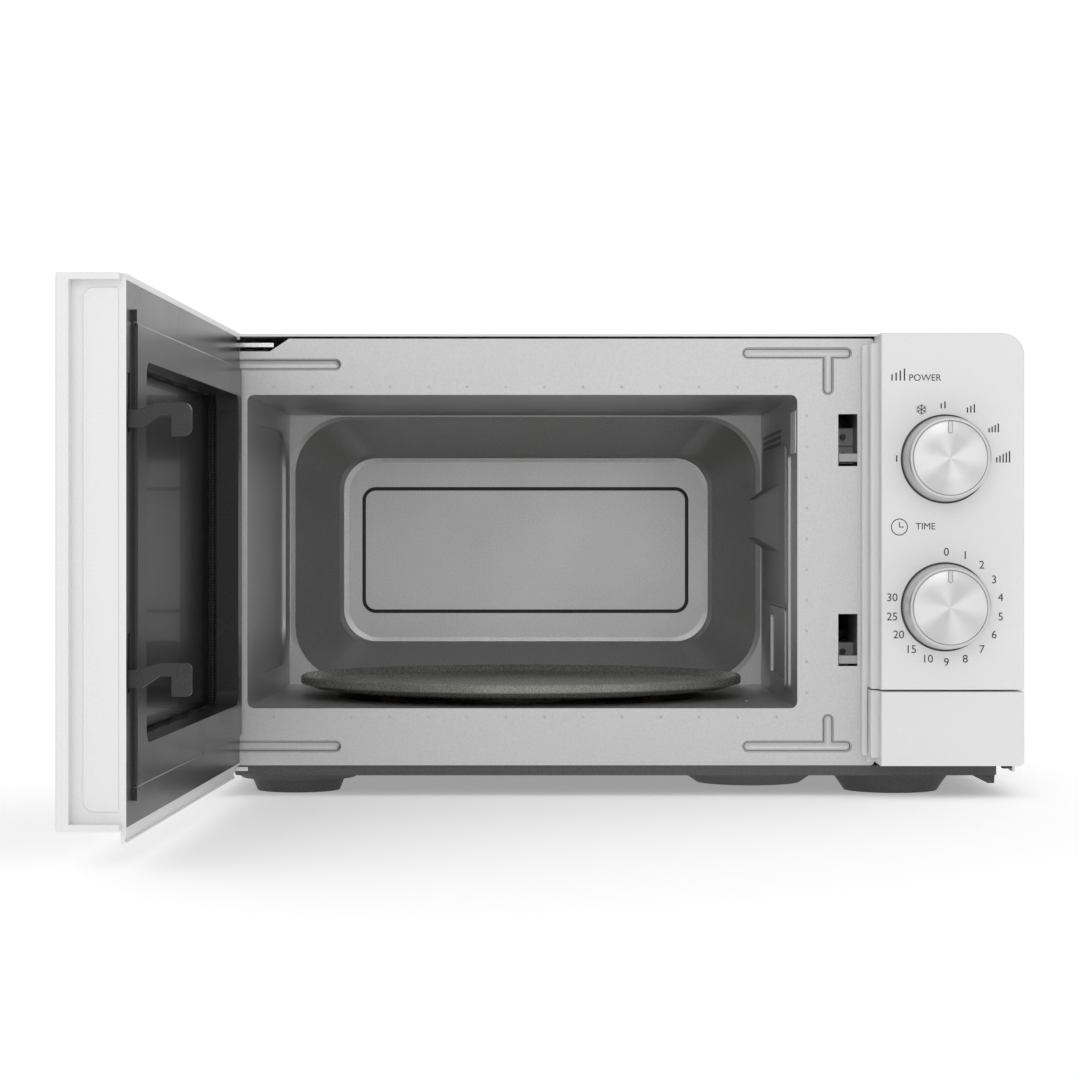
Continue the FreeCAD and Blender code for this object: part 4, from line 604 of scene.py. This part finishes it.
fin_metal = metal("fin_metal", grey(0.74), grey(0.60), 300.0, 0.32)
can_metal = metal("can_metal", grey(0.66), grey(0.55), 200.0, 0.35)
laminations = grained("laminations", (0.045, 0.040, 0.038, 1.0), (0.10, 0.085, 0.07, 1.0), 500.0,
                      0.6, 0.4, 0.00008, metallic=0.4)
copper_wire = metal("copper_wire", (0.62, 0.26, 0.12, 1.0), (0.40, 0.15, 0.07, 1.0), 500.0, 0.34,
                    0.00004)
phenolic = grained("phenolic", (0.32, 0.20, 0.08, 1.0), (0.22, 0.13, 0.05, 1.0), 600.0, 0.6,
                   0.5, 0.00003)
lamp_glass, tree, shader = blank("lamp_glass")
place = put(tree, "TexCoord").outputs["Object"]
frost = put(tree, "TexNoise", {"Vector": place, "Scale": 240.0, "Detail": 2.0}).outputs["Fac"]
tree.links.new(blended(tree, frost, grey(0.95), (0.90, 0.90, 0.86, 1.0)),
               shader.inputs["Base Color"])
tree.links.new(sums(tree, "MULTIPLY", frost, 0.3), shader.inputs["Roughness"])
shader.inputs["Transmission Weight"].default_value = 0.9
finish(galvanised, "waveguide", "magnetron_body", "turntable_motor", "capacitor_clamp")
finish(fin_metal, "magnetron_anode")
finish(laminations, "transformer_core", "fan_motor")
finish(copper_wire, "transformer_windings")
finish(can_metal, "hv_capacitor")
finish(phenolic, "filter_board")
finish(lamp_glass, "cavity_lamp")

# ---- Studio
# A pale floor and a white room that is brightest in front of and behind the oven, one large
# soft box in front, and the camera level with the oven's middle.

floor_shape = bmesh.new()
bmesh.ops.create_grid(floor_shape, x_segments=1, y_segments=1, size=30.0)
floor_mesh = bpy.data.meshes.new("floor")
floor_shape.to_mesh(floor_mesh)
floor_shape.free()
floor = bpy.data.objects.new("floor", floor_mesh)
bpy.context.collection.objects.link(floor)
paper = grained("floor_paper", grey(0.90), grey(0.88), 60.0, 0.3, 0.9, 0.00001)
paper.node_tree.nodes["Principled BSDF"].inputs["Emission Color"].default_value = grey(1.0)
paper.node_tree.nodes["Principled BSDF"].inputs["Emission Strength"].default_value = 0.30
floor_mesh.materials.append(paper)

world = bpy.data.worlds.new("room")
bpy.context.scene.world = world
world.use_nodes = True
sky = world.node_tree
around = put(sky, "SeparateXYZ", {"Vector": put(sky, "TexCoord").outputs["Generated"]})
facing = sums(sky, "POWER", sums(sky, "ABSOLUTE", around.outputs["Y"], 0.0), 1.5)
above = sums(sky, "MAXIMUM", around.outputs["Z"], 0.0)
behind = sums(sky, "ADD", sums(sky, "MULTIPLY", around.outputs["Y"], 0.11), 0.63)
wash = sums(sky, "ADD", sums(sky, "MULTIPLY", facing, behind),
            sums(sky, "ADD", sums(sky, "MULTIPLY", above, 0.42), 0.30))
sky.links.new(wash, sky.nodes["Background"].inputs["Strength"])
sky.nodes["Background"].inputs["Color"].default_value = grey(1.0)


def soft_box(name, spot, aim, width, height, watts):
    """A large rectangular lamp that faces a point."""
    lamp = bpy.data.lights.new(name, "AREA")
    lamp.shape = "RECTANGLE"
    lamp.size, lamp.size_y, lamp.energy = width, height, watts
    holder = bpy.data.objects.new(name, lamp)
    holder.location = spot
    holder.rotation_mode = "QUATERNION"
    holder.rotation_quaternion = (Vector(aim) - Vector(spot)).to_track_quat("-Z", "Y")
    bpy.context.collection.objects.link(holder)


soft_box("key", (-0.15, -3.4, 1.2), (0.0, 0.0, 0.12), 2.6, 1.5, 14.0)

lens = bpy.data.cameras.new("camera")
lens.lens = 94.8
lens.sensor_width = 36.0
lens.shift_x = -0.0044
camera = bpy.data.objects.new("camera", lens)
camera.location = (-0.0404, -1.771, 0.1452)
camera.rotation_euler = (math.pi / 2, 0.0, 0.0)
bpy.context.collection.objects.link(camera)
bpy.context.scene.camera = camera
bpy.context.scene.view_settings.view_transform = "Standard"
